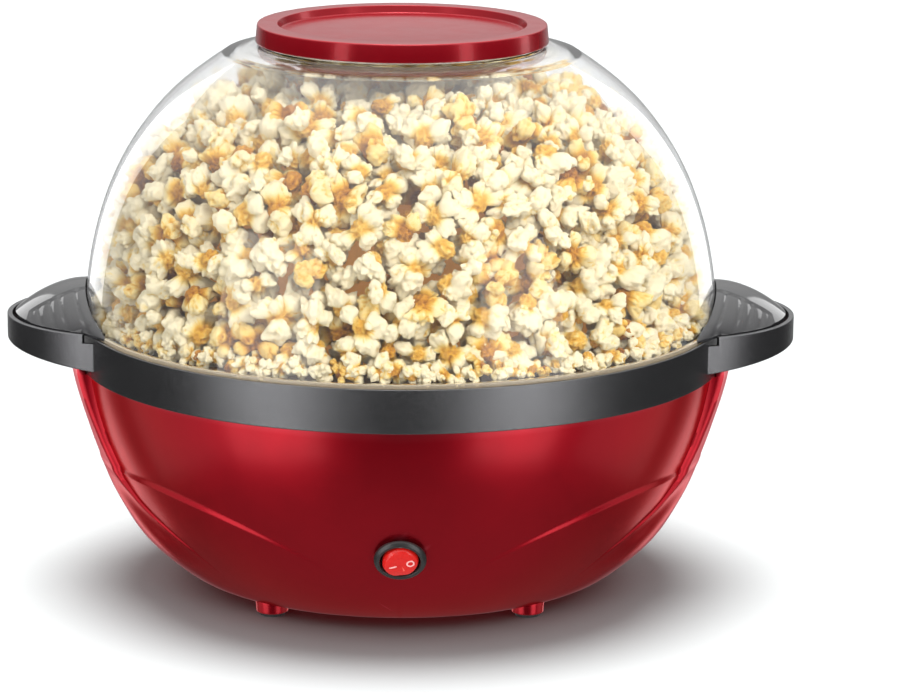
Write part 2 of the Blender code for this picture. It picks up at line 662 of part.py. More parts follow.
def make_cap(material):
    rim_inner = 0.0600
    skirt_inner = NECK_RADIUS + 0.0005
    sunk = CAP_TOP - CAP_SINK
    under = CAP_TOP - 0.0024
    profile = [(0, sunk - 0.002), (0.0612, sunk - 0.002), (0.0612, under), (skirt_inner, under),
               (skirt_inner, CAP_BOTTOM), (CAP_RADIUS, CAP_BOTTOM), (CAP_RADIUS - 0.0006, CAP_TOP - 0.0010),
               (CAP_RADIUS - 0.0014, CAP_TOP), (rim_inner, CAP_TOP), (rim_inner - 0.0012, sunk), (0, sunk)]
    return make_object("top_cap", turned(profile), material, origin=(0, 0, CAP_BOTTOM))


# ---------------------------------------------------------------- switch, gland and wiring

def make_switch(body_material, rocker_material):
    frame = wall_frame(-1, SWITCH_HEIGHT, SWITCH_LEAN)
    seat = 0.0012
    bezel_top = seat + 0.0024
    pocket = ROCKER_RADIUS + 0.0008
    profile = [(0, -0.0150), (SWITCH_BODY_RADIUS, -0.0150), (SWITCH_BODY_RADIUS, seat), (BEZEL_RADIUS, seat),
               (BEZEL_RADIUS - 0.0002, seat + 0.0010), (BEZEL_RADIUS - 0.0014, bezel_top), (pocket, bezel_top - 0.0002),
               (pocket, -0.0045), (0, -0.0045)]
    body = make_object("switch_body", placed(turned(profile, SMALL_SEGMENTS), frame), body_material,
                       origin=frame.translation)
    blades = [placed(box((x - 0.0024, -0.0004, -0.0220), (x + 0.0024, 0.0004, -0.0140)), frame)
              for x in (-0.0052, 0.0052)]
    boolean(body, joined(blades), "UNION")

    pivot = frame @ Matrix.Translation((0, 0, bezel_top - 0.0020))
    half = ROCKER_RADIUS
    outline = [(0, -0.0032), (0.0045, -0.0032), (half - 0.0004, -0.0016), (half, 0.0006), (half - 0.0006, 0.0021),
               (0.0045, 0.0029), (0, 0.0031)]
    tilt = Matrix.Rotation(ROCKER_REST, 4, "Y")
    rocker = turned(outline, SMALL_SEGMENTS)
    make_object("switch_rocker", placed(rocker, pivot @ tilt), rocker_material, origin=pivot.translation)


def make_cord_gland(material):
    frame = wall_frame(1, GLAND_HEIGHT, GLAND_LEAN)
    profile = [(CORD_HOLE, -0.0100), (0.0064, -0.0100), (0.0068, -0.0060), (0.0068, 0.0014), (0.0095, 0.0014),
               (0.0092, 0.0038), (0.0060, 0.0070), (CORD_HOLE, 0.0070)]
    make_object("cord_gland", placed(turned(profile, SMALL_SEGMENTS), frame), material, origin=frame.translation)


def make_terminal_block(material):
    floor = BASE_FLOOR + BASE_WALL + GAP
    low, high = (-0.018, 0.064, floor), (0.018, 0.078, floor + 0.012)
    block = make_object("terminal_block", box(low, high), material, origin=(0, 0.071, floor))
    ways = [placed(turned(rod_profile(0.0016, -0.02, 0.02), 8),
                   Matrix.Translation((x, 0.071, floor + 0.0065)) @ Matrix.Rotation(radians(90), 4, "X"))
            for x in (-0.011, 0.0, 0.011)]
    return boolean(block, joined(ways), "DIFFERENCE")


def make_wires(live, neutral, switched):
    radius = 0.0011
    floor = BASE_FLOOR + BASE_WALL + GAP + 0.0065
    switch = wall_frame(-1, SWITCH_HEIGHT, SWITCH_LEAN)
    left_blade, right_blade = (tuple(switch @ Vector((x, 0, -0.0235))) for x in (-0.0052, 0.0052))
    element_x = ELEMENT_CIRCLE * cos(radians(-68))
    element_y = ELEMENT_CIRCLE * sin(radians(-68)) - 0.004
    element_z = PLATE_UNDER - GAP - ELEMENT_RADIUS - 0.0065 * 2.2 - 0.0016
    wire("wire_live", bezier((-0.011, 0.0625, floor), (-0.095, 0.045, floor), (-0.080, -0.050, floor),
                             left_blade, 14), radius, live)
    wire("wire_switched", bezier(right_blade, (0.020, -0.090, 0.060), (element_x, element_y, 0.055),
                                 (element_x, element_y, element_z), 10), radius, switched)
    wire("wire_neutral", bezier((0.0, 0.0625, floor), (-0.060, 0.050, floor), (-0.075, -0.050, 0.040),
                                (-element_x, element_y, element_z), 14), radius, neutral)


# ---------------------------------------------------------------- the object

def build():
    clear_scene()
    red = make_material("red_gloss", (0.36, 0.008, 0.02), 0.22)
    cap_red = make_material("cap_red", (0.42, 0.010, 0.025), 0.25)
    black = make_material("ring_black", (0.035, 0.035, 0.037), 0.5)
    bezel_black = make_material("switch_black", (0.012, 0.012, 0.012), 0.35)
    rubber = make_material("pad_rubber", (0.03, 0.03, 0.03), 0.8)
    coated = make_material("plate_coating", (0.05, 0.05, 0.05), 0.45, 0.3)
    steel = make_material("steel", (0.6, 0.6, 0.6), 0.3, 1.0)
    zinc = make_material("zinc_steel", (0.5, 0.5, 0.52), 0.35, 1.0)
    aluminium = make_material("shield_aluminium", (0.75, 0.75, 0.76), 0.35, 1.0)
    brass = make_material("brass", (0.7, 0.52, 0.22), 0.3, 1.0)
    sheath = make_material("element_steel", (0.28, 0.26, 0.25), 0.5, 1.0)
    ceramic = make_material("ceramic", (0.8, 0.78, 0.72), 0.6)
    nylon = make_material("hub_nylon", (0.02, 0.02, 0.02), 0.4)
    gearbox = make_material("gearbox_grey", (0.2, 0.2, 0.2), 0.5)
    clear = make_material("dome_clear", (0.9, 0.9, 0.9), 0.03, 0.0, 0.25)
    rocker = make_material("rocker_red", (0.75, 0.02, 0.015), 0.2)
    live = make_material("wire_brown", (0.12, 0.05, 0.02), 0.5)
    neutral = make_material("wire_blue", (0.02, 0.08, 0.3), 0.5)
    switched = make_material("wire_white", (0.7, 0.7, 0.7), 0.5)

    make_base_housing(red)
    make_foot_pads(rubber)
    make_base_screws(zinc)
    make_handle_ring(black)
    make_heating_plate(coated)
    make_heating_element(sheath)
    make_shaft_bush(brass, zinc)
    make_heat_shield(aluminium)
    make_thermostat(ceramic)
    make_thermal_fuse(steel)
    make_standoffs(steel, zinc)
    make_motor_bracket(zinc)
    make_gearmotor(gearbox, steel, zinc)
    make_drive_shaft(steel)
    make_stirrer(nylon, steel)
    make_dome(clear)
    make_cap(cap_red)
    make_switch(bezel_black, rocker)
    make_cord_gland(bezel_black)
    make_terminal_block(ceramic)
    make_wires(live, neutral, switched)


build()
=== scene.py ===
"""Looks of the stirring popcorn maker.

The bowl, ring, dome, cap, switch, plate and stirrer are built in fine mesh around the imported
frame. Every piece gets a procedural finish. A studio and a dome full of popcorn are props.

Metres, +Z up, in the frame of the CAD: the origin is on the axis of the round body, +X runs
from handle to handle and -Y is the front. Sizes that the CAD fixes are repeated below.
"""

import json
from math import cos, hypot, pi, radians, sin, tan

import bmesh
import bpy
import numpy as np
from mathutils import Matrix, Vector, noise

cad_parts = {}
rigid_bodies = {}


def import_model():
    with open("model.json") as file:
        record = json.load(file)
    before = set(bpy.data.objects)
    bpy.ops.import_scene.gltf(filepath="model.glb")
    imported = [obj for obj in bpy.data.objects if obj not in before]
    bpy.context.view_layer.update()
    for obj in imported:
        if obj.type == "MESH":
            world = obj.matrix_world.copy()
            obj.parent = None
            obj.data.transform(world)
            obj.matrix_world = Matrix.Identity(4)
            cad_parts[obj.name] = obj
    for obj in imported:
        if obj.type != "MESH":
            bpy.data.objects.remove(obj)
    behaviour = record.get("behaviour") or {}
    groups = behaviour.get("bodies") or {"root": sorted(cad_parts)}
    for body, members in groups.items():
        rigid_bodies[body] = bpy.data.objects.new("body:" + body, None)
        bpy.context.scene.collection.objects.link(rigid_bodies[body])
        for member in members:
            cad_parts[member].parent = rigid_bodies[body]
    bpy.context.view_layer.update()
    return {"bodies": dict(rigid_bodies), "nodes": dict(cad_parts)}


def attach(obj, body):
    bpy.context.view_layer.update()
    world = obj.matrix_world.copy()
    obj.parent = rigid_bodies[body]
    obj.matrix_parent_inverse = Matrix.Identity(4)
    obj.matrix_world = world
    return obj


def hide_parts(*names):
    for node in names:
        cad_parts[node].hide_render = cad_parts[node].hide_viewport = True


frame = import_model()

# ---------------------------------------------------------------- sizes shared with the CAD

GAP = 0.0003
MERGE = 0.000001
RING_RADIUS = 0.1565
RING_TOP = 0.1297
RING_BOTTOM = 0.1090
RING_WALL = 0.0034
HANDLE_TIP = 0.1919
HANDLE_CENTRE = 0.1300
HANDLE_HALF_WIDTH = 0.0585
HANDLE_WALL = 0.0026
HANDLE_TOP = 0.1310
HANDLE_END_ANGLE = radians(77.4)
HANDLE_NOTCH = 0.0042

BASE_FLOOR = 0.0062
BASE_FLOOR_RADIUS = 0.1017
BASE_WALL = 0.0025
SPIGOT_TOP = 0.1165
SPIGOT_RADIUS = 0.1522

DOME_RADIUS = 0.1534
DOME_CENTRE = 0.1315
DOME_WALL = 0.0025
DOME_SWELL = 0.0016
DOME_SEAT = 0.1284
FLANGE_RADIUS = 0.1542
NECK_RADIUS = 0.0677
NECK_INNER = NECK_RADIUS - 0.0015
NECK_TOP = 0.2698
PARTING = 0.00005           # gap between the dome's shell and its rim or well
WELL_RADIUS = 0.0470
WELL_FLOOR = 0.2545
TAB_GAP = 0.0041
TAB_WALL = 0.0020
TAB_BASE = 0.1300
TAB_RISE = 0.0163
TAB_ROOT_HALF = 0.0650
TAB_RELIEF = 0.0006
TAB_EDGE = 0.0018           # height of the tab's edge above its underside

CAP_RADIUS = 0.0706
CAP_TOP = 0.2727
CAP_BOTTOM = 0.2640
CAP_SINK = 0.0037

PLATE_TOP = 0.1000
PLATE_UNDER = 0.0980
PLATE_FLANGE_TOP = 0.1248
PLATE_FLANGE_RADIUS = 0.1262

FOOT_X = 0.0608
FOOT_Y = 0.0760
FOOT_BOTTOM = 0.0016
POST_RADIUS = 0.0060
POST_TOP = 0.0802
POST_SHOULDER = 0.0780
POST_BORE = 0.0042

HUB_RADIUS = 0.0115
HUB_BOTTOM = 0.1035
HUB_TOP = 0.1240
SHAFT_TOP = 0.1150
SHAFT_RADIUS = 0.0030
ARM_RADIUS = 0.0018
ARM_LEVEL = 0.1085          # height at which the arms leave the hub

SWITCH_HEIGHT = 0.0450
SWITCH_LEAN = radians(29)
SWITCH_SEAT = 0.0012
BEZEL_TOP = 0.0036
BEZEL_RADIUS = 0.0123
SWITCH_BODY_RADIUS = 0.0100
ROCKER_RADIUS = 0.0084
ROCKER_REST = radians(8)
GLAND_HEIGHT = 0.0350
GLAND_LEAN = radians(35)
CORD_HOLE = 0.0037

ROUND = 256                 # sides of a large turned piece
SMALL_ROUND = 72            # sides of a bezel, a hub or a foot
SMOOTH_ANGLE = radians(38)
BOWL_SMOOTH_ANGLE = radians(50)
MAP_RANGE_SOCKETS = ("From Min", "From Max", "To Min", "To Max")


# ---------------------------------------------------------------- mesh helpers

def smoothstep(low, high, value):
    t = np.clip((value - low) / (high - low), 0.0, 1.0)
    return t * t * (3 - 2 * t)


def bezier(corners, steps):
    """Points of a cubic curve, both ends included, as an array."""
    t = np.linspace(0, 1, steps + 1)[:, None]
    start, pull_1, pull_2, end = (np.array(corner, float) for corner in corners)
    return start * (1 - t) ** 3 + pull_1 * 3 * t * (1 - t) ** 2 + pull_2 * 3 * t * t * (1 - t) + end * t ** 3


def arc(centre, radius, start, end, steps):
    """Points of an arc in the (radius, height) plane, angles in degrees from level."""
    turns = np.radians(np.linspace(start, end, steps + 1))
    return [(centre[0] + radius * cos(a), centre[1] + radius * sin(a)) for a in turns]


def rounded(outline, steps=4):
    """Outline with the corners that carry a third number rounded to that radius."""
    points = []
    for index, (x, y, *size) in enumerate(outline):
        here = Vector((x, y))
        if not size:
            points.append((x, y))
            continue
        before = Vector(outline[index - 1][:2]) - here
        after = Vector(outline[(index + 1) % len(outline)][:2]) - here
        half_angle = before.angle(after) / 2
        reach = min(size[0] / tan(half_angle), 0.48 * before.length, 0.48 * after.length)
        start = here + before.normalized() * reach
        end = here + after.normalized() * reach
        for step in range(steps + 1):
            t = step / steps
            points.append(tuple(start * (1 - t) ** 2 + here * 2 * t * (1 - t) + end * t * t))
    return points


def turned(profile, sides=ROUND):
    """Closed body turned about Z from an outline of (radius, height) points."""
    bm = bmesh.new()
    turns = [2 * pi * side / sides for side in range(sides)]
    rings = []
    for radius, height in profile:
        if radius < MERGE:
            rings.append([bm.verts.new((0, 0, height))] * sides)
        else:
            rings.append([bm.verts.new((radius * cos(a), radius * sin(a), height)) for a in turns])
    following = rings[1:] + (rings[:1] if profile[0][0] > MERGE else [])
    for ring, upper in zip(rings, following):
        for side in range(sides):
            beside = (side + 1) % sides
            corners = list(dict.fromkeys((ring[side], ring[beside], upper[beside], upper[side])))
            if len(corners) > 2:
                bm.faces.new(corners)
    return bm


def strip(loops, closed_ends=True):
    """Body through a row of closed loops with the same number of points."""
    bm = bmesh.new()
    rings = [[bm.verts.new(point) for point in loop] for loop in loops]
    for ring, upper in zip(rings, rings[1:]):
        for index in range(len(ring)):
            beside = (index + 1) % len(ring)
            bm.faces.new((ring[index], ring[beside], upper[beside], upper[index]))
    if closed_ends:
        bm.faces.new(rings[0])
        bm.faces.new(rings[-1])
    bmesh.ops.remove_doubles(bm, verts=bm.verts, dist=MERGE)
    bmesh.ops.dissolve_degenerate(bm, edges=bm.edges, dist=MERGE)
    return bm


def sheet_body(outer, inner):
    """Closed body between two grids of points that have the same rows and columns."""
    bm = bmesh.new()
    grids = [[[bm.verts.new(point) for point in row] for row in rows] for rows in (outer, inner)]
    borders = []
    for rows in grids:
        for row, following in zip(rows, rows[1:]):
            for corners in zip(row, row[1:], following[1:], following):
                bm.faces.new(corners)
        borders.append([row[0] for row in rows] + rows[-1][1:-1] + [row[-1] for row in reversed(rows)]
                       + rows[0][-2:0:-1])
    top, under = borders
    for corners in zip(top, top[1:] + top[:1], under[1:] + under[:1], under):
        bm.faces.new(corners)
    return bm


def ranged(nodes, links, value, numbers, smooth=False):
    """Map Range node from a socket; numbers are from low, from high, to low and to high."""
    node = nodes.new("ShaderNodeMapRange")
    if smooth:
        node.interpolation_type = "SMOOTHSTEP"
    for socket, number in zip(MAP_RANGE_SOCKETS, numbers):
        node.inputs[socket].default_value = number
    links.new(value, node.inputs["Value"])
    return node.outputs["Result"]


def noise_texture(nodes, links, place, scale, detail=3.0):
    texture = nodes.new("ShaderNodeTexNoise")
    texture.inputs["Scale"].default_value = scale
    texture.inputs["Detail"].default_value = detail
    links.new(place, texture.inputs["Vector"])
    return texture.outputs["Fac"]


def maths(nodes, links, operation, first, second):
    """Math node whose two values are sockets or plain numbers."""
    node = nodes.new("ShaderNodeMath")
    node.operation = operation
    for socket, value in zip(node.inputs, (first, second)):
        if isinstance(value, (int, float)):
            socket.default_value = value
        else:
            links.new(value, socket)
    return node.outputs["Value"]


def placed(bm, matrix):
    bmesh.ops.transform(bm, matrix=matrix, verts=bm.verts)
    return bm


def joined(parts):
    """Several separate bodies in one bmesh."""
    target = bmesh.new()
    for part in parts:
        mesh = bpy.data.meshes.new("part")
        bmesh.ops.recalc_face_normals(part, faces=part.faces)
        part.to_mesh(mesh)
        part.free()
        target.from_mesh(mesh)
        bpy.data.meshes.remove(mesh)
    return target


def make_object(name, bm, material=None, sharp=SMOOTH_ANGLE):
    bmesh.ops.recalc_face_normals(bm, faces=bm.faces)
    mesh = bpy.data.meshes.new(name)
    bm.to_mesh(mesh)
    bm.free()
    obj = bpy.data.objects.new(name, mesh)
    bpy.context.scene.collection.objects.link(obj)
    if material:
        mesh.materials.append(material)
        mesh.shade_smooth()
        mesh.set_sharp_from_angle(angle=sharp)
    return obj


def combine(obj, bm, operation, sharp=SMOOTH_ANGLE):
    """Union or difference with a helper shape, applied to the mesh."""
    helper = make_object("helper", bm)
    modifier = obj.modifiers.new("combine", "BOOLEAN")
    modifier.operation = operation
    modifier.solver = "EXACT"
    modifier.object = helper
    view = bpy.context.evaluated_depsgraph_get()
    old = obj.data
    mesh = bpy.data.meshes.new_from_object(obj.evaluated_get(view))
    obj.modifiers.clear()
    obj.data = mesh
    mesh.name = obj.name
    bpy.data.meshes.remove(old)
    bpy.data.objects.remove(helper)
    mesh.shade_smooth()
    mesh.set_sharp_from_angle(angle=sharp)
    return obj


def piece(name, bm, material, body, slot, *nodes, sharp=SMOOTH_ANGLE):
    """A finished piece that rides on a body and stands for CAD nodes."""
    obj = make_object(name, bm, material, sharp)
    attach(obj, body)
    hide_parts(*nodes)
    return obj


def tube(route, radius, sides=16):
    """Round rod along a route, with rounded ends."""
    route = [Vector(point) for point in route]
    loops = []
    up = Vector((0, 0, 1))
    for index, point in enumerate(route):
        ahead = route[min(index + 1, len(route) - 1)] - route[max(index - 1, 0)]
        ahead.normalize()
        across = ahead.cross(up).normalized()
        upward = across.cross(ahead)
        ends = [(0.0, 1.0)]
        if index in (0, len(route) - 1):
            inward = 1 if index == 0 else -1
            ends = [(inward * radius * (1 - cos(a)), sin(a)) for a in (0.25, 0.6, 1.0, pi / 2)][::inward]
        for shift, size in ends:
            centre = point + ahead * shift
            loops.append([centre + (across * cos(a) + upward * sin(a)) * radius * size
                          for a in (2 * pi * side / sides for side in range(sides))])
    return strip(loops)


def four_feet():
    return [(x, y) for x in (-FOOT_X, FOOT_X) for y in (-FOOT_Y, FOOT_Y)]


def at_feet(profile, sides):
    """The same turned body at each of the four feet."""
    return [placed(turned(profile, sides), Matrix.Translation((x, y, 0))) for x, y in four_feet()]


# ---------------------------------------------------------------- finishes

def finish(name, colour, roughness, grain=1400.0, grain_depth=0.00003, mottle=30.0, shade=0.86,
           gloss_change=0.06, worn=None, **sockets):
    """Principled material with colour drift, fine surface grain, uneven gloss and paler worn edges.

    grain is the number of bumps per metre, shade how dark the drift goes, and worn the colour
    that shows through on sharp outer edges.
    """
    material = bpy.data.materials.new(name)
    material.use_nodes = True
    nodes, links = material.node_tree.nodes, material.node_tree.links
    shader = nodes["Principled BSDF"]
    shader.inputs["Metallic"].default_value = 0.0
    for socket, value in sockets.items():
        shader.inputs[socket.replace("_", " ")].default_value = value
    place = nodes.new("ShaderNodeTexCoord").outputs["Object"]

    def blend_colours(factor, first, second):
        mix = nodes.new("ShaderNodeMix")
        mix.data_type = "RGBA"
        links.new(factor, mix.inputs["Factor"])
        for socket, value in (("A", first), ("B", second)):
            inputs = [i for i in mix.inputs if i.name == socket and i.type == "RGBA"]
            if isinstance(value, tuple):
                inputs[0].default_value = (*value, 1.0)
            else:
                links.new(value, inputs[0])
        return [o for o in mix.outputs if o.type == "RGBA"][0]

    dark = tuple(channel * shade for channel in colour)
    patches = ranged(nodes, links, noise_texture(nodes, links, place, mottle), (0.35, 0.65, 0.0, 1.0))
    drift = blend_colours(patches, dark, colour)
    if worn:
        pointiness = nodes.new("ShaderNodeNewGeometry").outputs["Pointiness"]
        edge = ranged(nodes, links, pointiness, (0.52, 0.60, 0.0, 0.55))
        drift = blend_colours(edge, drift, worn)
    links.new(drift, shader.inputs["Base Color"])
    smears = noise_texture(nodes, links, place, mottle * 2.7)
    gloss = ranged(nodes, links, smears, (0.3, 0.7, roughness - gloss_change, roughness + gloss_change))
    links.new(gloss, shader.inputs["Roughness"])
    bump = nodes.new("ShaderNodeBump")
    bump.inputs["Strength"].default_value = 1.0
    bump.inputs["Distance"].default_value = grain_depth
    links.new(noise_texture(nodes, links, place, grain, 2.0), bump.inputs["Height"])
    links.new(bump.outputs["Normal"], shader.inputs["Normal"])
    return material


def clear_plastic(name, tint, roughness=0.02, transmission=1.0):
    """Clear moulded plastic. Shadow rays pass straight through, so that what is inside is lit."""
    material = bpy.data.materials.new(name)
    material.use_nodes = True
    nodes, links = material.node_tree.nodes, material.node_tree.links
    shader = nodes["Principled BSDF"]
    shader.inputs["Base Color"].default_value = (*tint, 1.0)
    shader.inputs["Transmission Weight"].default_value = transmission
    shader.inputs["IOR"].default_value = 1.49
    place = nodes.new("ShaderNodeTexCoord").outputs["Object"]
    smears = noise_texture(nodes, links, place, 22.0, 2.0)
    gloss = ranged(nodes, links, smears, (0.4, 0.75, roughness, roughness + 0.05))
    links.new(gloss, shader.inputs["Roughness"])
    passing = nodes.new("ShaderNodeBsdfTransparent")
    passing.inputs["Color"].default_value = (*(0.35 + 0.6 * channel for channel in tint), 1.0)
    mix = nodes.new("ShaderNodeMixShader")
    links.new(nodes.new("ShaderNodeLightPath").outputs["Is Shadow Ray"], mix.inputs["Fac"])
    links.new(shader.outputs["BSDF"], mix.inputs[1])
    links.new(passing.outputs["BSDF"], mix.inputs[2])
    links.new(mix.outputs["Shader"], nodes["Material Output"].inputs["Surface"])
    return material


RED = finish("red_gloss_plastic", (0.32, 0.0035, 0.011), 0.33, grain=900, grain_depth=0.00001, shade=0.93,
             gloss_change=0.03, worn=(0.50, 0.05, 0.07), Metallic=0.85, Coat_Weight=0.22, Coat_Roughness=0.20,
             Specular_IOR_Level=0.2, Specular_Tint=(1.0, 0.22, 0.28, 1.0))
CAP_RED = finish("cap_red_plastic", (0.28, 0.0028, 0.0095), 0.22, grain=900, grain_depth=0.00001, shade=0.93,
                 gloss_change=0.03, worn=(0.65, 0.10, 0.12), Metallic=0.35, Coat_Weight=0.13,
                 Coat_Roughness=0.05, Specular_IOR_Level=0.25)
BLACK = finish("ring_black_plastic", (0.140, 0.140, 0.145), 0.25, grain=2600, grain_depth=0.00014, shade=0.94,
               gloss_change=0.015, worn=(0.22, 0.22, 0.22), Metallic=0.92, Specular_IOR_Level=0.3)
BEZEL_BLACK = finish("switch_black_plastic", (0.018, 0.018, 0.018), 0.28, grain=1800, grain_depth=0.00003,
                     worn=(0.10, 0.10, 0.10))
RUBBER = finish("pad_rubber_black", (0.022, 0.021, 0.020), 0.75, grain=2400, grain_depth=0.00008)
COATING = finish("plate_coating_black", (0.030, 0.030, 0.031), 0.40, grain=1500, grain_depth=0.00008,
                 shade=0.7, worn=(0.12, 0.12, 0.12), Metallic=0.3)
STEEL = finish("polished_steel", (0.62, 0.61, 0.60), 0.24, grain=1200, grain_depth=0.00002, shade=0.85,
               worn=(0.80, 0.80, 0.80), Metallic=1.0)
ZINC = finish("zinc_plated_steel", (0.55, 0.56, 0.60), 0.34, grain=900, grain_depth=0.00003, mottle=160,
              shade=0.8, worn=(0.72, 0.72, 0.74), Metallic=1.0)
ALUMINIUM = finish("shield_aluminium_sheet", (0.74, 0.74, 0.75), 0.36, grain=700, grain_depth=0.00004,
                   mottle=60, shade=0.86, worn=(0.86, 0.86, 0.87), Metallic=1.0)
SHEATH = finish("element_sheath_steel", (0.26, 0.23, 0.21), 0.48, grain=1100, grain_depth=0.00006, mottle=90,
                shade=0.6, Metallic=1.0)
BRASS = finish("turned_brass", (0.72, 0.50, 0.20), 0.28, grain=1300, grain_depth=0.00003, mottle=120,
               shade=0.82, worn=(0.85, 0.68, 0.36), Metallic=1.0)
CERAMIC = finish("white_ceramic", (0.78, 0.76, 0.70), 0.50, grain=1000, grain_depth=0.00005, mottle=140,
                 shade=0.9)
NYLON = finish("hub_black_nylon", (0.020, 0.020, 0.020), 0.38, grain=1500, grain_depth=0.00004,
               worn=(0.09, 0.09, 0.09))
GEARBOX = finish("gearbox_grey_plastic", (0.16, 0.16, 0.17), 0.50, grain=1500, grain_depth=0.00008,
                 worn=(0.30, 0.30, 0.30))
WIRE_FINISHES = {
    "wire_live": finish("wire_brown_pvc", (0.11, 0.045, 0.020), 0.45, mottle=90),
    "wire_neutral": finish("wire_blue_pvc", (0.015, 0.070, 0.30), 0.45, mottle=90),
    "wire_switched": finish("wire_white_silicone", (0.70, 0.69, 0.66), 0.50, mottle=90),
}
# The rocker's faint red emission is a painted glow, standing in for light through the red plastic.
ROCKER_RED = finish("rocker_red_translucent", (0.60, 0.009, 0.007), 0.24, grain=900, grain_depth=0.00001,
                    shade=0.85, gloss_change=0.04, worn=(0.95, 0.20, 0.15), Coat_Weight=0.3,
                    Coat_Roughness=0.06, Specular_IOR_Level=0.3, Emission_Color=(0.9, 0.03, 0.015, 1.0),
                    Emission_Strength=0.08)
MARK_PALE = finish("marking_pale_ink", (0.92, 0.48, 0.46), 0.40, grain=2000, grain_depth=0.00001, shade=0.95)
CLEAR = clear_plastic("dome_clear_plastic", (0.945, 0.945, 0.95))
# The well's pale milky tint is painted light: it makes the well show as a bright band under the cap.
WELL_CLEAR = clear_plastic("well_milky_plastic", (0.98, 0.95, 0.91), roughness=0.08, transmission=0.85)
# The tab's near-black tint and low transmission are painted shade: the clear tab is darkened where only shade
# shows through it.
TAB_CLEAR = clear_plastic("tab_smoked_plastic", (0.030, 0.030, 0.032), roughness=0.06, transmission=0.25)
# The rim's beige tint is painted: it stands in for the popcorn's colour and light showing through the clear
# rim.
RIM_CLEAR = clear_plastic("dome_rim_frosted_plastic", (0.80, 0.70, 0.54), roughness=0.20, transmission=0.70)


# ---------------------------------------------------------------- bowl

BOWL_CORNERS = ((BASE_FLOOR_RADIUS, BASE_FLOOR), (0.1157, BASE_FLOOR), (0.1490, 0.0608),
                (0.1545, RING_BOTTOM - GAP))
BOWL_LINE = bezier(BOWL_CORNERS, 400)
BOWL_LENGTHS = np.concatenate(([0], np.cumsum(np.hypot(*np.diff(BOWL_LINE, axis=0).T))))
BOWL_PROBE = 0.0005         # half of the length over which the wall's slope is measured
PANEL_RISE = radians(15)    # width over which the panel swells beyond the step at its edge
RISER_HALF = radians(0.55)  # half of the width of the panel's step, round the bowl
LEDGE_RISE = 0.0011         # how far the lower wall stands out under the ledge
LEDGE_WIDTH = 0.0030


def bowl_at(length):
    """Radius and height at a length along the bowl's outline, from its floor."""
    return tuple(np.interp(length, BOWL_LENGTHS, BOWL_LINE[:, column]) for column in (0, 1))


def bowl_radius(height):
    return float(np.interp(height, BOWL_LINE[:, 1], BOWL_LINE[:, 0]))


def panel_edge(height):
    """Angle from the side of the bowl at which the raised panel ends."""
    return np.radians(np.interp(height, (0.0062, 0.0245, 0.034, 0.044, 0.052, 0.059, 0.075, 0.092, 0.1087),
                                (51.0, 45.0, 40.0, 32.5, 25.5, 20.8, 18.0, 16.8, 16.0)))


def panel_depth(height):
    """How far the middle of the panel stands out of the bowl."""
    return 0.0050 * smoothstep(0.004, 0.032, height) + 0.0012 * smoothstep(0.080, 0.109, height)


def panel_step(height):
    """Height of the step at the panel's edge, which dies out towards the floor."""
    return min(float(np.interp(height, (0.020, 0.030, 0.040, 0.052, 0.062, 0.080, 0.109),
                               (0.0, 0.0003, 0.0008, 0.0016, 0.0034, 0.0040, 0.0062))), panel_depth(height))


def ledge_height(from_side):
    """Height of the ledge line round the bowl: level at the side, falling towards the front."""
    degrees = np.degrees(from_side)
    beyond = np.clip((degrees - 34) / 42, 0, None)
    return 0.0640 - 0.0306 * beyond ** 2 - 0.0018 * smoothstep(34, 18, degrees)


def ledge_strength(from_side):
    """Share of the ledge's full rise: it dies out towards the front and is low across the panel."""
    degrees = np.degrees(from_side)
    return smoothstep(80, 48, degrees) * (1 - 0.6 * smoothstep(30, 16, degrees))


def bowl_point(from_side, length):
    """Radius and height of the outer wall with its panel and ledge, away from the side's middle."""
    radius, height = bowl_at(length)
    ahead_r, ahead_z = bowl_at(length + BOWL_PROBE)
    back_r, back_z = bowl_at(length - BOWL_PROBE)
    slope = Vector((ahead_r - back_r, ahead_z - back_z)).normalized()
    ledge_length = np.interp(ledge_height(from_side), BOWL_LINE[:, 1], BOWL_LENGTHS)
    above = length - ledge_length
    stand = LEDGE_RISE * ledge_strength(from_side) * (1 - smoothstep(0, LEDGE_WIDTH, above))
    stand *= 1 - smoothstep(0.010, 0.060, -above)
    edge = panel_edge(height)
    step = panel_step(height)
    panel = smoothstep(edge + RISER_HALF, edge - RISER_HALF, from_side) * step
    panel += smoothstep(edge, edge - PANEL_RISE, from_side) * (panel_depth(height) - step)
    return radius + stand * slope.y + panel, height - stand * slope.x


def bowl_columns():
    """Columns over a quarter of the bowl: a share of the way to the panel's edge, then beyond it."""
    inside = [(1 - q ** 1.7, 0.0) for q in np.linspace(1, 0, 15)]
    outside = [(1.0, q ** 1.5) for q in np.linspace(0, 1, 61)[1:]]
    return inside + outside


def bowl_wall():
    """Grid of outer points whose rows follow the ledge and whose columns follow the panel."""
    below = -np.linspace(1, 0, 40)[:-1] ** 1.5
    above = np.linspace(0, 1, 44) ** 1.5
    quarter = bowl_columns()
    total = BOWL_LENGTHS[-1]
    grid = []
    for share in (*below, *above):
        row = []
        for to_edge, past_edge in quarter:
            turn = radians(30)
            for _ in range(6):      # the edge's angle depends on the height, which depends on the angle
                ledge = np.interp(ledge_height(turn), BOWL_LINE[:, 1], BOWL_LENGTHS)
                length = ledge * (1 + share) if share < 0 else ledge + (total - ledge) * share
                edge = panel_edge(bowl_at(length)[1])
                turn = edge * to_edge + (pi / 2 - edge) * past_edge
            row.append((turn, *bowl_point(turn, length)))
        grid.append(row)
    return grid


def all_round(row):
    """A quarter's row of (angle from the side, radius, height) repeated round the whole bowl."""
    half = row + [(pi - turn, radius, height) for turn, radius, height in row[-2::-1]]
    return half + [(2 * pi - turn, radius, height) for turn, radius, height in half[-2:0:-1]]


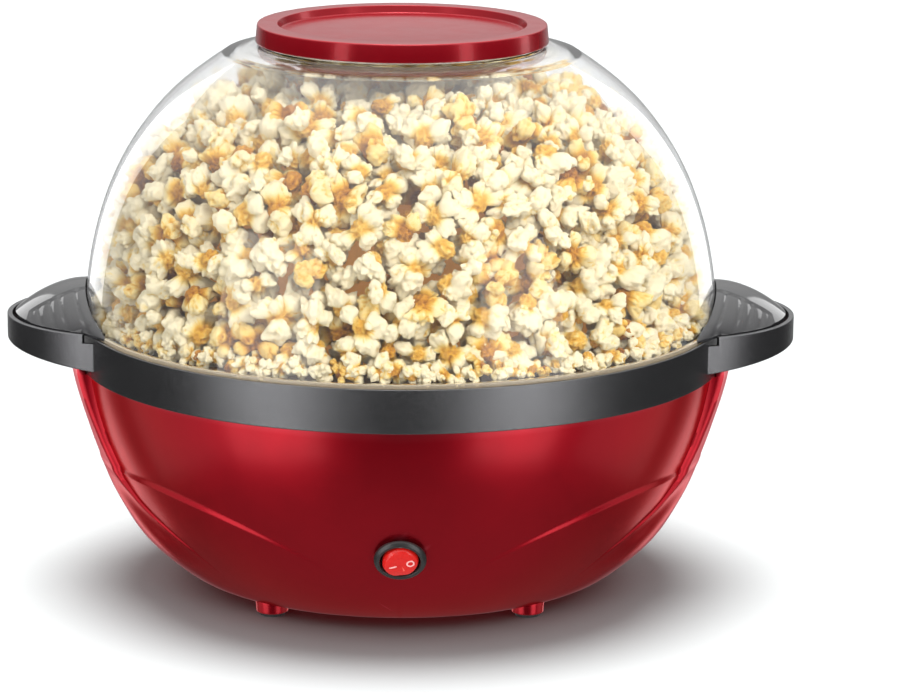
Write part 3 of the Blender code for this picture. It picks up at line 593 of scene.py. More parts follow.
def wall_frame(side, height, lean):
    """Frame on the bowl's outside: local +Z points out of the wall, local +Y up along it."""
    outward = Vector((0, side * cos(lean), -sin(lean)))
    upward = Vector((0, side * sin(lean), cos(lean)))
    across = upward.cross(outward)
    matrix = Matrix((across, upward, outward)).transposed().to_4x4()
    matrix.translation = (0, side * bowl_radius(height), height)
    return matrix


def foot_profile():
    return rounded([(0, FOOT_BOTTOM), (0.0076, FOOT_BOTTOM, 0.0005), (0.0078, 0.0050), (0.0080, 0.0062),
                    (0.0080, 0.0080), (POST_RADIUS, 0.0100), (POST_RADIUS, POST_TOP, 0.0004), (0, POST_TOP)])


def bowl_loops():
    """Loops of the bowl from its floor up the outside, over the rim and the spigot and down inside."""
    outer = [all_round(row) for row in bowl_wall()]
    rim = outer[-1]
    turns = [turn for turn, _, _ in rim]
    lip_height = RING_BOTTOM - GAP
    rim_inner = [min(radius, RING_RADIUS + 0.0005) for _, radius, _ in rim]
    # the panel's top stands higher than the ring's lower edge
    lip_heights = [lip_height + 0.0035 * smoothstep(0.1570, 0.1600, radius) for _, radius, _ in rim]
    raised = [[(turn, radius, height) for (turn, radius, _), height in zip(rim, lip_heights)],
              list(zip(turns, rim_inner, lip_heights)),
              [(turn, radius, lip_height) for turn, radius in zip(turns, rim_inner)]]
    spigot_profile = ((SPIGOT_RADIUS, lip_height), (SPIGOT_RADIUS, SPIGOT_TOP - 0.0004),
                      (SPIGOT_RADIUS - 0.0004, SPIGOT_TOP), (SPIGOT_RADIUS - 0.0022, SPIGOT_TOP))
    spigot = [[(turn, radius, height) for turn in turns] for radius, height in spigot_profile]
    inner = [[(turn, radius - BASE_WALL, height + BASE_WALL * smoothstep(0.06, 0.01, height))
              for turn, radius, height in row] for row in outer[::-4]]
    return [[(radius * cos(turn), radius * sin(turn), height) for turn, radius, height in row]
            for row in outer + raised + spigot + inner]


def vent_slot(x):
    """Cutter for one vent in the bowl's floor: a slot with round ends, from front to back."""
    half_width, reach = 0.0015, 0.0285
    outline = []
    for y, start in ((reach, 0), (-reach, 180)):
        outline += [(x + half_width * sin(radians(a)), y + half_width * cos(radians(a)))
                    for a in range(start - 90, start + 91, 15)]
    return strip([[(px, py, z) for px, py in outline] for z in (0.0, 0.02)])


def make_bowl():
    bowl = piece("base_housing_shell", strip(bowl_loops()), RED, "base", "red_plastic", "base_housing",
                 sharp=BOWL_SMOOTH_ANGLE)
    combine(bowl, joined(at_feet(foot_profile(), SMALL_ROUND)), "UNION", sharp=BOWL_SMOOTH_ANGLE)
    bore = [(0, 0.0), (POST_BORE, 0.0), (POST_BORE, POST_SHOULDER), (0.0022, POST_SHOULDER),
            (0.0022, POST_TOP + 0.002), (0, POST_TOP + 0.002)]
    cutters = at_feet(bore, 32)
    for side, height, lean, radius in ((-1, SWITCH_HEIGHT, SWITCH_LEAN, SWITCH_BODY_RADIUS + 0.0004),
                                       (1, GLAND_HEIGHT, GLAND_LEAN, 0.0071)):
        hole = [(0, -0.012), (radius, -0.012), (radius, 0.012), (0, 0.012)]
        cutters.append(placed(turned(hole, SMALL_ROUND), wall_frame(side, height, lean)))
    cutters += [vent_slot(x) for x in (-0.032, -0.016, 0.0, 0.016, 0.032)]
    combine(bowl, joined(cutters), "DIFFERENCE", sharp=BOWL_SMOOTH_ANGLE)
    return bowl


def make_foot_pads():
    profile = rounded([(0, 0), (0.0060, 0, 0.0005), (0.0062, 0.0013, 0.0002), (0.0038, 0.0013),
                       (0.0034, 0.0060, 0.0005), (0, 0.0060)])
    places = ("front_left", "rear_left", "front_right", "rear_right")
    for place, bm in zip(places, at_feet(profile, SMALL_ROUND)):
        piece(f"foot_pad_{place}_rubber", bm, RUBBER, "base", "rubber", f"foot_pad_{place}")


# ---------------------------------------------------------------- ring and handles

def handle_loop(side, turn, top):
    """Section of a handle's rim at one turn; turn 0 is the tip."""
    bottom = 0.1194 - 0.0067 * (abs(turn) / HANDLE_END_ANGLE) ** 1.4
    section = rounded([(0, bottom, 0.0006), (0, top, 0.0005), (HANDLE_WALL, top, 0.0005),
                       (HANDLE_WALL, bottom, 0.0006)])
    reach = HANDLE_TIP - HANDLE_CENTRE
    return [(side * (HANDLE_CENTRE + (reach - inset) * cos(turn)),
             (HANDLE_HALF_WIDTH - inset) * sin(turn), height) for inset, height in section]


def handle_strip(side):
    notch = radians(70)
    low = HANDLE_TOP - HANDLE_NOTCH
    loops = [handle_loop(side, turn, low) for turn in np.linspace(-HANDLE_END_ANGLE, -notch, 4)]
    loops += [handle_loop(side, turn, HANDLE_TOP) for turn in np.linspace(-notch, notch, 97)]
    loops += [handle_loop(side, turn, low) for turn in np.linspace(notch, HANDLE_END_ANGLE, 4)]
    return strip(loops)


def make_ring():
    band_inner = RING_RADIUS - RING_WALL
    lip_inner = RING_RADIUS - 0.0018
    profile = rounded([
        (RING_RADIUS, RING_BOTTOM, 0.0007), (RING_RADIUS, RING_TOP, 0.0005), (lip_inner, RING_TOP, 0.0004),
        (lip_inner, DOME_SEAT, 0.0003), (0.1440, DOME_SEAT, 0.0008), (0.1275, 0.1252, 0.0006),
        (0.1275, 0.1230, 0.0004), (0.1215, 0.1230, 0.0004), (0.1215, 0.1205, 0.0004),
        (0.1290, 0.1205, 0.0010), (0.1440, 0.1259, 0.0010), (band_inner, 0.1259, 0.0006),
        (band_inner, RING_BOTTOM, 0.0004)])
    ring = piece("handle_ring_moulding", turned(profile, 320), BLACK, "base", "black_plastic", "handle_ring")
    return combine(ring, joined([handle_strip(1), handle_strip(-1)]), "UNION")


# ---------------------------------------------------------------- dome, tabs and cap

def tab_root(across, inset, outside=0.0):
    radius = DOME_RADIUS + outside
    y = (TAB_ROOT_HALF - inset) * across
    return Vector(((radius ** 2 - y ** 2) ** 0.5, y))


def tab_outline(across, inset):
    """Where the tab ends under the handle's rim; across runs from -1 to 1 over its width."""
    corner, corner_turn = 0.8, radians(68)
    size = abs(across)
    turn = corner_turn * min(size, corner) / corner
    place = Vector((HANDLE_CENTRE + (HANDLE_TIP - HANDLE_CENTRE - TAB_GAP - inset) * cos(turn),
                    (HANDLE_HALF_WIDTH - TAB_GAP - inset) * sin(turn)))
    if size > corner:
        place = place.lerp(tab_root(1, inset, 0.0006), (size - corner) / (1 - corner))
    place.y *= 1 if across >= 0 else -1
    return place


def tab_relief(x, y):
    """Shallow steps moulded into the flanks: a crease beside the smooth crown, and rings round the axis."""
    along = min(max((x - 0.1535) / 0.0165, 0.0), 1.0)
    crease = 0.0120 + 0.0080 * along
    flank = float(smoothstep(crease, crease + 0.0009, abs(y)) * smoothstep(0.1800, 0.1775, x))
    radius = hypot(x, y)
    rings = sum(float(np.exp(-((radius - ring) / 0.0007) ** 2)) for ring in (0.1580, 0.1656, 0.1705, 0.1760))
    return TAB_RELIEF * flank * (1 + rings)


def tab_grid(side, inset):
    rows = []
    for reach in np.linspace(0, 1, 41) ** 0.9:
        row = []
        for across in np.linspace(-1, 1, 129):
            place = tab_root(across, inset).lerp(tab_outline(across, inset), reach)
            crown = 1 - abs(across) ** 1.4
            height = TAB_BASE + TAB_EDGE + (TAB_RISE - TAB_EDGE) * crown * (1 - reach ** 2) - inset
            if inset == 0:
                height = max(height - tab_relief(place.x, place.y), TAB_BASE + 0.0012)
            row.append((side * place.x, place.y, height))
        rows.append(row)
    rows.append([(x, y, TAB_BASE) for x, y, _ in rows[-1]])
    return rows


def dome_line(inset, start, end, steps):
    """Outline of the dome's wall, a little fuller than a ball on its shoulder; angles from level."""
    turns = np.linspace(start, end, steps + 1)
    reaches = DOME_RADIUS - inset + DOME_SWELL * smoothstep(8, 34, turns) * (1 - smoothstep(40, 57, turns))
    return [(reach * cos(radians(turn)), DOME_CENTRE + reach * sin(radians(turn)))
            for turn, reach in zip(turns, reaches)]


def make_dome():
    flange_bottom = DOME_SEAT + GAP
    flange_top = flange_bottom + DOME_WALL
    split = flange_top + 0.0003
    rim_inner = 0.1495
    rim = rounded([(rim_inner, flange_bottom, 0.0003), (FLANGE_RADIUS, flange_bottom, 0.0004),
                   (FLANGE_RADIUS, flange_top, 0.0008), (DOME_RADIUS, split - PARTING),
                   (DOME_RADIUS - DOME_WALL, split - PARTING), (rim_inner, DOME_CENTRE - 0.001, 0.0006)])
    piece("dome_rim_flange", turned(rim), RIM_CLEAR, "dome", "clear_plastic", "dome")

    shoulder = [tuple(p) for p in bezier(((0.0820, 0.2592), (0.0755, 0.2615), (0.0690, 0.2612),
                                          (NECK_RADIUS, 0.2630)), 10)]
    neck = rounded([(NECK_RADIUS, 0.2640), (NECK_RADIUS, NECK_TOP, 0.0005), (NECK_INNER, NECK_TOP, 0.0003)])
    under = rounded([(NECK_INNER, 0.2620, 0.0006), (0.0672, 0.2603, 0.0010), (0.0740, 0.2590)])
    foot = [(DOME_RADIUS - DOME_WALL, split), (DOME_RADIUS, split)]
    profile = under + dome_line(DOME_WALL, 57, 0, 84) + foot + dome_line(0, 0.2, 56.2, 84) + shoulder + neck
    piece("dome_shell", turned(profile), CLEAR, "dome", "clear_plastic", "dome")


def make_well():
    """The dish in the dome's neck that drips butter, with eight holes in its floor."""
    collar = NECK_INNER - PARTING
    under = WELL_FLOOR - 0.0022
    profile = rounded([(0, under), (WELL_RADIUS, under, 0.0010), (0.0500, WELL_FLOOR - 0.0010, 0.0010),
                       (0.0622, 0.2640, 0.0020), (collar, 0.2640, 0.0004), (collar, NECK_TOP, 0.0003),
                       (0.0640, NECK_TOP, 0.0006), (0.0630, 0.2660, 0.0030),
                       (WELL_RADIUS + 0.002, WELL_FLOOR + 0.001, 0.0010),
                       (WELL_RADIUS - 0.001, WELL_FLOOR, 0.0010), (0, WELL_FLOOR)])
    well = piece("dome_butter_well", turned(profile), WELL_CLEAR, "dome", "clear_plastic", "dome")
    hole_radius, circle = 0.0025, 0.032
    low, high = WELL_FLOOR - 0.006, WELL_FLOOR + 0.004
    hole = [(0, low), (hole_radius, low), (hole_radius, high), (0, high)]
    holes = [placed(turned(hole, 24), Matrix.Translation((circle * cos(a), circle * sin(a), 0)))
             for a in np.radians(range(0, 360, 45))]
    combine(well, joined(holes), "DIFFERENCE")


def make_tabs():
    for side, name in ((-1, "left"), (1, "right")):
        bm = sheet_body(tab_grid(side, 0.0), tab_grid(side, TAB_WALL))
        piece(f"dome_tab_{name}", bm, TAB_CLEAR, "dome", "clear_plastic", "dome")


def make_cap():
    rim_inner = 0.0600
    skirt_inner = NECK_RADIUS + 0.0005
    sunk = CAP_TOP - CAP_SINK
    under = CAP_TOP - 0.0024
    profile = rounded([(0, sunk - 0.002), (0.0612, sunk - 0.002, 0.0006), (0.0612, under, 0.0003),
                       (skirt_inner, under, 0.0003), (skirt_inner, CAP_BOTTOM, 0.0003),
                       (CAP_RADIUS, CAP_BOTTOM, 0.0005), (CAP_RADIUS - 0.0009, CAP_TOP, 0.0009),
                       (rim_inner, CAP_TOP, 0.0006), (rim_inner - 0.0012, sunk, 0.0009), (0, sunk)])
    return piece("top_cap_moulding", turned(profile), CAP_RED, "top_cap", "cap_plastic", "top_cap")


# ---------------------------------------------------------------- heating plate, bush and stirrer

def make_plate():
    wall = (0.0900, 0.1250)
    profile = rounded(
        [(0.0076, PLATE_TOP + 0.0012, 0.0003), (0.0300, PLATE_TOP + 0.0002, 0.0100), (0.0900, PLATE_TOP)]
        + arc(wall, 0.0250, -86, -14, 24)
        + [(0.1190, PLATE_FLANGE_TOP, 0.0008), (PLATE_FLANGE_RADIUS, PLATE_FLANGE_TOP, 0.0005),
           (PLATE_FLANGE_RADIUS, 0.1233, 0.0005), (0.1209, 0.1233), (0.1204, 0.1205)]
        + arc(wall, 0.0270, -14, -86, 24)
        + [(0.0900, PLATE_UNDER), (0.0076, PLATE_UNDER, 0.0003)])
    plate = piece("heating_plate_pan", turned(profile), COATING, "base", "plate_coating", "heating_plate")
    stud = rounded([(0, POST_TOP + GAP), (0.0045, POST_TOP + GAP, 0.0004), (0.0045, 0.0990), (0, 0.0990)])
    pilot = [(0, POST_TOP - 0.002), (0.0021, POST_TOP - 0.002), (0.0021, 0.0940), (0, 0.0940)]
    combine(plate, joined(at_feet(stud, 32)), "UNION")
    combine(plate, joined(at_feet(pilot, 32)), "DIFFERENCE")


def make_bush():
    bore = SHAFT_RADIUS + GAP
    over = PLATE_TOP + 0.0015
    top = over + 0.0013
    profile = rounded([(bore, 0.0925, 0.0003), (0.0070, 0.0925, 0.0005), (0.0070, over),
                       (0.0105, over, 0.0003), (0.0105, over + 0.0010, 0.0005), (0.0096, top, 0.0004),
                       (bore, top, 0.0004)])
    piece("shaft_bush_turned", turned(profile, SMALL_ROUND), BRASS, "base", "brass", "shaft_bush")


def arm_route():
    low = 0.1045
    elbow = (0.066, 0.016, low)
    first = bezier(((0.0135, 0, ARM_LEVEL), (0.0300, 0, ARM_LEVEL), (0.0400, 0.0200, low), elbow), 24)
    second = bezier((elbow, (0.0880, 0.0130, low), (0.1000, 0.0040, 0.1070), (0.1105, -0.0040, 0.1205)), 24)
    return [(0.0068, 0, ARM_LEVEL), (0.0100, 0, ARM_LEVEL), *map(tuple, first), *map(tuple, second[1:])]


def make_stirrer():
    profile = rounded([(0, HUB_BOTTOM), (0.0108, HUB_BOTTOM, 0.0006),
                       (HUB_RADIUS, HUB_BOTTOM + 0.001, 0.0004), (HUB_RADIUS, 0.1130, 0.0008),
                       (0.0086, 0.1160, 0.0030), (0.0080, 0.1200, 0.0030), (0.0064, 0.1232, 0.0016),
                       (0.0030, HUB_TOP, 0.0010), (0, HUB_TOP)])
    hub = piece("stirrer_hub_moulding", turned(profile, SMALL_ROUND), NYLON, "stirrer", "hub_nylon",
                "stirrer_hub")
    radius = SHAFT_RADIUS + 0.0004
    low, high = HUB_BOTTOM - 0.003, SHAFT_TOP + 0.0006
    bore = turned([(0, low), (radius, low), (radius, high), (0, high)], 32)
    start, end = 0.0062, 0.0140
    socket = [(0, start), (ARM_RADIUS + GAP, start), (ARM_RADIUS + GAP, end), (0, end)]
    sideways = Matrix.Translation((0, 0, ARM_LEVEL)) @ Matrix.Rotation(radians(90), 4, "Y")
    sockets = [placed(turned(socket, 24), Matrix.Rotation(turn, 4, "Z") @ sideways) for turn in (0, pi)]
    combine(hub, joined([bore] + sockets), "DIFFERENCE")
    for number, turn in enumerate((1, -1), start=1):
        route = [(turn * x, turn * y, z) for x, y, z in arm_route()]
        piece(f"stirrer_arm_{number}_rod", tube(route, ARM_RADIUS), STEEL, "stirrer", "steel",
              f"stirrer_arm_{number}")


# ---------------------------------------------------------------- switch and gland

def make_switch():
    face = wall_frame(-1, SWITCH_HEIGHT, SWITCH_LEAN)
    pocket = ROCKER_RADIUS + 0.0008
    profile = rounded([(0, -0.0150), (SWITCH_BODY_RADIUS, -0.0150, 0.0005),
                       (SWITCH_BODY_RADIUS, SWITCH_SEAT, 0.0002), (BEZEL_RADIUS, SWITCH_SEAT, 0.0003),
                       (BEZEL_RADIUS - 0.0003, SWITCH_SEAT + 0.0012, 0.0008),
                       (BEZEL_RADIUS - 0.0016, BEZEL_TOP, 0.0007),
                       (pocket + 0.0004, BEZEL_TOP - 0.0002, 0.0004), (pocket, BEZEL_TOP - 0.0009, 0.0003),
                       (pocket, -0.0045, 0.0004), (0, -0.0045)])
    body = piece("switch_body_bezel", placed(turned(profile, 96), face), BEZEL_BLACK, "base",
                 "switch_plastic", "switch_body")
    half_width, half_thick = 0.0024, 0.0004
    outline = ((-half_width, -half_thick), (half_width, -half_thick), (half_width, half_thick),
               (-half_width, half_thick))
    blades = [placed(strip([[(x + px, py, z) for px, py in outline] for z in (-0.0220, -0.0140)]), face)
              for x in (-0.0052, 0.0052)]
    combine(body, joined(blades), "UNION")
    return body


def make_rocker():
    pivot = wall_frame(-1, SWITCH_HEIGHT, SWITCH_LEAN) @ Matrix.Translation((0, 0, BEZEL_TOP - 0.0020))
    tilt = pivot @ Matrix.Rotation(ROCKER_REST, 4, "Y")
    outline = rounded([(0, -0.0032), (0.0045, -0.0032, 0.0010), (ROCKER_RADIUS - 0.0004, -0.0016, 0.0006),
                       (ROCKER_RADIUS, 0.0014, 0.0010), (ROCKER_RADIUS - 0.0008, 0.0031, 0.0010),
                       (0.0045, 0.0037, 0.0040), (0, 0.0039)])
    rocker = turned(outline, 96)
    for vert in rocker.verts:       # hollowed across the middle, so each half rises to its own end
        if vert.co.z > 0:
            vert.co.z -= 0.0007 * float(smoothstep(0.0042, 0.0, abs(vert.co.x)))
    piece("switch_rocker_cap", placed(rocker, tilt), ROCKER_RED, "rocker", "rocker_plastic", "switch_rocker")

    sunk = 0.0030           # height inside the rocker at which both marks start
    turns = np.linspace(0, 2 * pi, 24, endpoint=False)
    dash = strip([[(-0.0039 + 0.0018 * cos(a), 0.00036 * sin(a), z) for a in turns] for z in (sunk, 0.00386)])
    zero = turned([(0.00125, sunk), (0.0019, sunk), (0.0019, 0.00382), (0.00125, 0.00382)], 40)
    marks = joined([dash, placed(zero, Matrix.Translation((0.0043, 0, 0)))])
    marks = placed(marks, Matrix.Rotation(radians(9), 4, "Z"))
    piece("switch_rocker_marks", placed(marks, tilt), MARK_PALE, "rocker", "rocker_plastic", "switch_rocker")


def make_gland():
    profile = rounded([(CORD_HOLE, -0.0100, 0.0004), (0.0064, -0.0100, 0.0004), (0.0068, -0.0060),
                       (0.0068, 0.0014), (0.0095, 0.0014, 0.0004), (0.0092, 0.0038, 0.0012),
                       (0.0060, 0.0070, 0.0008), (CORD_HOLE, 0.0070, 0.0008)])
    bm = placed(turned(profile, SMALL_ROUND), wall_frame(1, GLAND_HEIGHT, GLAND_LEAN))
    piece("cord_gland_bush", bm, BEZEL_BLACK, "base", "switch_plastic", "cord_gland")


# ---------------------------------------------------------------- CAD nodes that stay in view

def dress_inner_nodes():
    """Finishes for the inner nodes that keep their CAD shape, with softened edges."""
    finishes = {"bush_nut": ZINC, "motor_bracket": ZINC, "drive_shaft": STEEL, "thermal_fuse": STEEL,
                "motor_can": STEEL, "gearbox": GEARBOX, "heat_shield": ALUMINIUM, "heating_element": SHEATH,
                "thermostat": CERAMIC, "terminal_block": CERAMIC, **WIRE_FINISHES}
    for name, node in frame["nodes"].items():
        if node.hide_render:
            continue
        other = STEEL if name.startswith("standoff_") and "nut" not in name else ZINC
        material = finishes.get(name, other)
        node.data.materials.clear()
        node.data.materials.append(material)
        if name not in WIRE_FINISHES:
            bevel = node.modifiers.new("soft edges", "BEVEL")
            bevel.width = 0.00015
            bevel.segments = 2
            bevel.limit_method = "ANGLE"
            bevel.angle_limit = radians(40)
            bevel.use_clamp_overlap = True


# ---------------------------------------------------------------- popcorn prop

POPCORN_SEED = 7
KERNEL_KINDS = 16
HEAP_CROWN = 0.2420         # height of the top layer's kernels beside the butter well
BALL_CENTRE = np.array((0, 0, DOME_CENTRE))
KERNEL_LIMIT = DOME_RADIUS - DOME_WALL - 0.0006
CRUMB_RADIUS = 0.1435       # beyond this radius and below this height a kernel is a crumb
CRUMB_HEIGHT = 0.1365
# rings of kernels at the dome's foot: radius, height and spacing
FOOT_RINGS = ((0.1462, 0.1322, 0.0080), (0.1440, 0.1345, 0.0095), (0.1390, 0.1420, 0.0150),
              (0.1280, 0.1350, 0.0150))
# layers of kernels: depth under the dome's inside, least distance apart and number of tries
LAYERS = ((0.0095, 0.0127, 14000), (0.0185, 0.0128, 10000), (0.0280, 0.0145, 6000))


def popcorn_material():
    """Cream lobes, butter yellow and tan in the folds, darkened towards brown in the deepest folds as painted
    shade, with each kernel a little different.
    """
    material = bpy.data.materials.new("popcorn")
    material.use_nodes = True
    nodes, links = material.node_tree.nodes, material.node_tree.links
    shader = nodes["Principled BSDF"]
    shader.inputs["Roughness"].default_value = 0.62
    fold = nodes.new("ShaderNodeAttribute")
    fold.attribute_name = "fold"
    place = nodes.new("ShaderNodeTexCoord").outputs["Object"]
    blotch = noise_texture(nodes, links, place, 110.0)
    own = nodes.new("ShaderNodeObjectInfo").outputs["Random"]
    parts = [maths(nodes, links, "MULTIPLY", value, weight)
             for value, weight in ((fold.outputs["Fac"], 0.50), (blotch, 0.40),
                                   (maths(nodes, links, "POWER", own, 2.5), 0.28))]
    tone = maths(nodes, links, "ADD", maths(nodes, links, "ADD", parts[0], parts[1]), parts[2])
    ramp = nodes.new("ShaderNodeValToRGB")
    # The dark brown end of the ramp serves both brown hull bits and painted shade in the deepest folds.
    stops = ((0.31, (1.00, 0.89, 0.60)), (0.43, (0.98, 0.75, 0.27)), (0.54, (0.88, 0.50, 0.06)),
             (0.70, (0.60, 0.25, 0.02)), (0.88, (0.22, 0.06, 0.008)))
    elements = ramp.color_ramp.elements
    elements.remove(elements[1])
    elements[0].position = stops[0][0]
    for position, _ in stops[1:]:
        elements.new(position)
    for element, (_, colour) in zip(elements, stops):
        element.color = (*colour, 1)
    links.new(tone, ramp.inputs["Fac"])
    links.new(ramp.outputs["Color"], shader.inputs["Base Color"])
    bump = nodes.new("ShaderNodeBump")
    bump.inputs["Distance"].default_value = 0.0004
    links.new(noise_texture(nodes, links, place, 900.0), bump.inputs["Height"])
    links.new(bump.outputs["Normal"], shader.inputs["Normal"])
    return material


def unit_vectors(rng, count):
    vectors = rng.normal(size=(count, 3))
    return vectors / np.linalg.norm(vectors, axis=1, keepdims=True)


def kernel_crumple(direction, shift):
    """Share by which a kernel's surface stands in or out: broad dents, sharp creases and fine wrinkles."""
    return (0.22 * noise.noise(direction * 2.4 + shift) + 0.09 * noise.noise(direction * 6.1 + shift)
            - 0.20 * abs(noise.noise(direction * 4.2 - shift)) + 0.035 * noise.noise(direction * 15 - shift))


def kernel_mesh(number, material):
    """One popped kernel, about 1 in radius: burst lobes, each with smaller crumpled lobes on it."""
    rng = np.random.default_rng(POPCORN_SEED * 100 + number)
    bm = bmesh.new()
    bmesh.ops.create_icosphere(bm, subdivisions=5, radius=1.0)
    directions = np.array([vert.co for vert in bm.verts])
    count = rng.integers(5, 9)
    main = unit_vectors(rng, count) * rng.uniform(0.46, 0.74, (count, 1))
    main_sizes = rng.uniform(0.24, 0.40, count)
    centres, sizes = [main], [main_sizes]
    for centre, size in zip(main, main_sizes):
        count = rng.integers(5, 9)
        centres.append(centre + unit_vectors(rng, count) * size * 0.82)
        sizes.append(size * rng.uniform(0.30, 0.58, count))
    centres, sizes = np.concatenate(centres), np.concatenate(sizes)
    along = directions @ centres.T
    inside = along ** 2 - (centres ** 2).sum(1) + sizes ** 2
    reach = np.where(inside > 0, along + np.sqrt(np.clip(inside, 0, None)), 0.0)
    ordered = np.sort(reach, axis=1)
    far, second = np.maximum(ordered[:, -1], 0.34), ordered[:, -2]
    meeting = np.exp(-((far - second) / 0.03) ** 2)
    shift = Vector(rng.uniform(-9, 9, 3))
    crumple = np.array([kernel_crumple(Vector(direction), shift) for direction in directions])
    scaled = far * (1 + crumple)
    scaled /= scaled.max()
    for vert, distance, direction in zip(bm.verts, scaled, directions):
        vert.co = Vector(direction * distance)
    mesh = bpy.data.meshes.new(f"kernel_{number}")
    bm.to_mesh(mesh)
    bm.free()
    low, high = np.percentile(far, (3, 80))
    # Deep points, creases where lobes meet and dents score higher: the kernel's own yellow and tan, and
    # painted shade in the deepest creases.
    fold = np.clip(1 - (far - low) / (high - low), 0, 1) ** 1.3 * 0.75 + 0.35 * meeting - 1.3 * crumple - 0.10
    attribute = mesh.attributes.new("fold", "FLOAT", "POINT")
    attribute.data.foreach_set("value", np.clip(fold, 0, 1).astype(np.float32))
    mesh.materials.append(material)
    mesh.shade_smooth()
    return mesh


def heap_height(radius):
    """Height of the top layer's kernels: hollow under the butter well, lower towards the dome."""
    return HEAP_CROWN - 0.009 * smoothstep(0.062, 0.035, radius) - 0.030 * (radius / 0.120) ** 3


def kernel_places(rng):
    """Spots for kernels: rings at the dome's foot, then three layers inside the dome and over the heap."""
    spots = []
    for radius, height, spacing in FOOT_RINGS:
        count = int(2 * pi * radius / spacing)
        for turn in np.linspace(0, 2 * pi, count, endpoint=False) + rng.uniform(-0.025, 0.025, count):
            spots.append((radius * cos(turn), radius * sin(turn), height + rng.uniform(-0.001, 0.002)))
    spots = np.array(spots)
    for depth, spacing, tries in LAYERS:
        directions = unit_vectors(rng, tries)
        directions[:, 2] = np.abs(directions[:, 2])
        points = BALL_CENTRE + directions * (DOME_RADIUS - DOME_WALL - depth)
        points[:, 2] += rng.uniform(-0.002, 0.002, tries)
        ceiling = heap_height(np.hypot(points[:, 0], points[:, 1])) - (depth - 0.0090)
        points[:, 2] = np.minimum(points[:, 2], ceiling + rng.uniform(-0.006, 0.004, tries))
        points[:, 2] = np.maximum(points[:, 2], 0.1350)
        for point in points:
            if ((spots - point) ** 2).sum(1).min() > spacing ** 2:
                spots = np.vstack((spots, point))
    return spots


def settled(spot, spread):
    """The spot moved so that a kernel, given by its points, is clear of the dome, the well and the ring."""
    for _ in range(3):
        excess = np.linalg.norm(spread + spot - BALL_CENTRE, axis=1).max() - KERNEL_LIMIT
        if excess > 0:
            away = spot - BALL_CENTRE
            spot = spot - away / np.linalg.norm(away) * excess
    top = (spread[:, 2] + spot[2]).max()
    spot[2] -= max(top - (WELL_FLOOR - 0.0032), 0.0)
    bottom = (spread[:, 2] + spot[2]).min()
    spot[2] += max(DOME_SEAT + 0.0006 - bottom, 0.0)
    return spot


def on_dome(prop):
    """A prop that rides up with the dome."""
    prop.parent = frame["bodies"]["dome"]


def make_popcorn():
    """Popped kernels that fill the dome, over a plain core that closes the gaps between them and glows in
    them as painted warm light.
    """
    rng = np.random.default_rng(POPCORN_SEED)
    material = popcorn_material()
    meshes = [kernel_mesh(number, material) for number in range(KERNEL_KINDS)]
    clouds = [np.array([vert.co for vert in mesh.vertices])[::7] for mesh in meshes]
    kernels = []
    for number, spot in enumerate(kernel_places(rng)):
        kind = int(rng.integers(KERNEL_KINDS))
        size = rng.uniform(0.0136, 0.0182)
        if hypot(spot[0], spot[1]) > CRUMB_RADIUS and spot[2] < CRUMB_HEIGHT:
            size *= 0.50
        turn = Matrix(np.linalg.qr(rng.normal(size=(3, 3)))[0].tolist())
        if turn.determinant() < 0:
            turn = -turn
        stretch = Matrix.Diagonal((size, size * rng.uniform(0.75, 1.0), size * rng.uniform(0.70, 0.95)))
        spot = settled(spot, clouds[kind] @ np.array(turn @ stretch).T)
        kernel = bpy.data.objects.new(f"popcorn_{number}", meshes[kind])
        kernel.matrix_world = Matrix.Translation(spot) @ (turn @ stretch).to_4x4()
        bpy.context.scene.collection.objects.link(kernel)
        on_dome(kernel)
        kernels.append(kernel)
    core_profile = [(0, 0.1300), (0.1160, 0.1300), (0.1170, 0.1600), (0.1030, 0.1900), (0.0700, 0.2110),
                    (0, 0.2150)]
    # The core's emission is painted light: a warm glow that lifts the shaded gaps between kernels.
    core_painted_glow_material = finish("popcorn_core", (0.70, 0.34, 0.07), 0.8, grain=300, grain_depth=0.001,
                           Emission_Color=(0.60, 0.28, 0.06, 1.0), Emission_Strength=0.35)
    on_dome(make_object("popcorn_core", turned(core_profile, 48), core_painted_glow_material))
    return kernels


# ---------------------------------------------------------------- studio

WORLD_LOW = 0.05            # strength at the horizon and for a way below it
WORLD_HIGH = 1.7            # straight up
WORLD_BEHIND = 0.38         # straight behind, for the clear dome's edges
WORLD_UNDER = 0.42          # what the underside of the bowl mirrors
FLOOR_TONE = 0.30
FLOOR_LIGHT = 7.6           # a broad sun from behind, for the floor alone, so the shadow falls forward
CARD_DISTANCE = 1.5
CARD_HEIGHT = 1.9
MIDDLE = (0, 0, 0.10)       # what the lights aim at


def make_floor():
    # Less red than green and blue: a painted counter to the red light the bowl throws into the floor's
    # shadow.
    material = finish("studio_floor_white", (0.965 * FLOOR_TONE, FLOOR_TONE, FLOOR_TONE), 0.85, grain=300,
                      grain_depth=0.00005, mottle=3, shade=0.985)
    bm = bmesh.new()
    bmesh.ops.create_grid(bm, x_segments=24, y_segments=24, size=9.0)
    floor = make_object("studio_floor", bm, material)
    floor.visible_glossy = False
    floor.visible_shadow = False
    return floor


def aim(obj, target):
    direction = Vector(target) - obj.location
    obj.rotation_euler = direction.to_track_quat("-Z", "Y").to_euler()


def make_light(name, place, target, width, height, power):
    data = bpy.data.lights.new(name, "AREA")
    data.shape = "RECTANGLE"
    data.size = width
    data.size_y = height
    data.energy = power
    light = bpy.data.objects.new(name, data)
    light.location = place
    bpy.context.scene.collection.objects.link(light)
    aim(light, target)
    light.visible_camera = False
    light.visible_transmission = False
    return light


def shines_on(light, objects, state):
    """Let a light reach only these objects, or every object but these."""
    receivers = bpy.data.collections.new(f"{light.name}_receivers")
    for obj in objects:
        receivers.objects.link(obj)
    for entry in receivers.collection_objects:
        entry.light_linking.link_state = state
    light.light_linking.receiver_collection = receivers


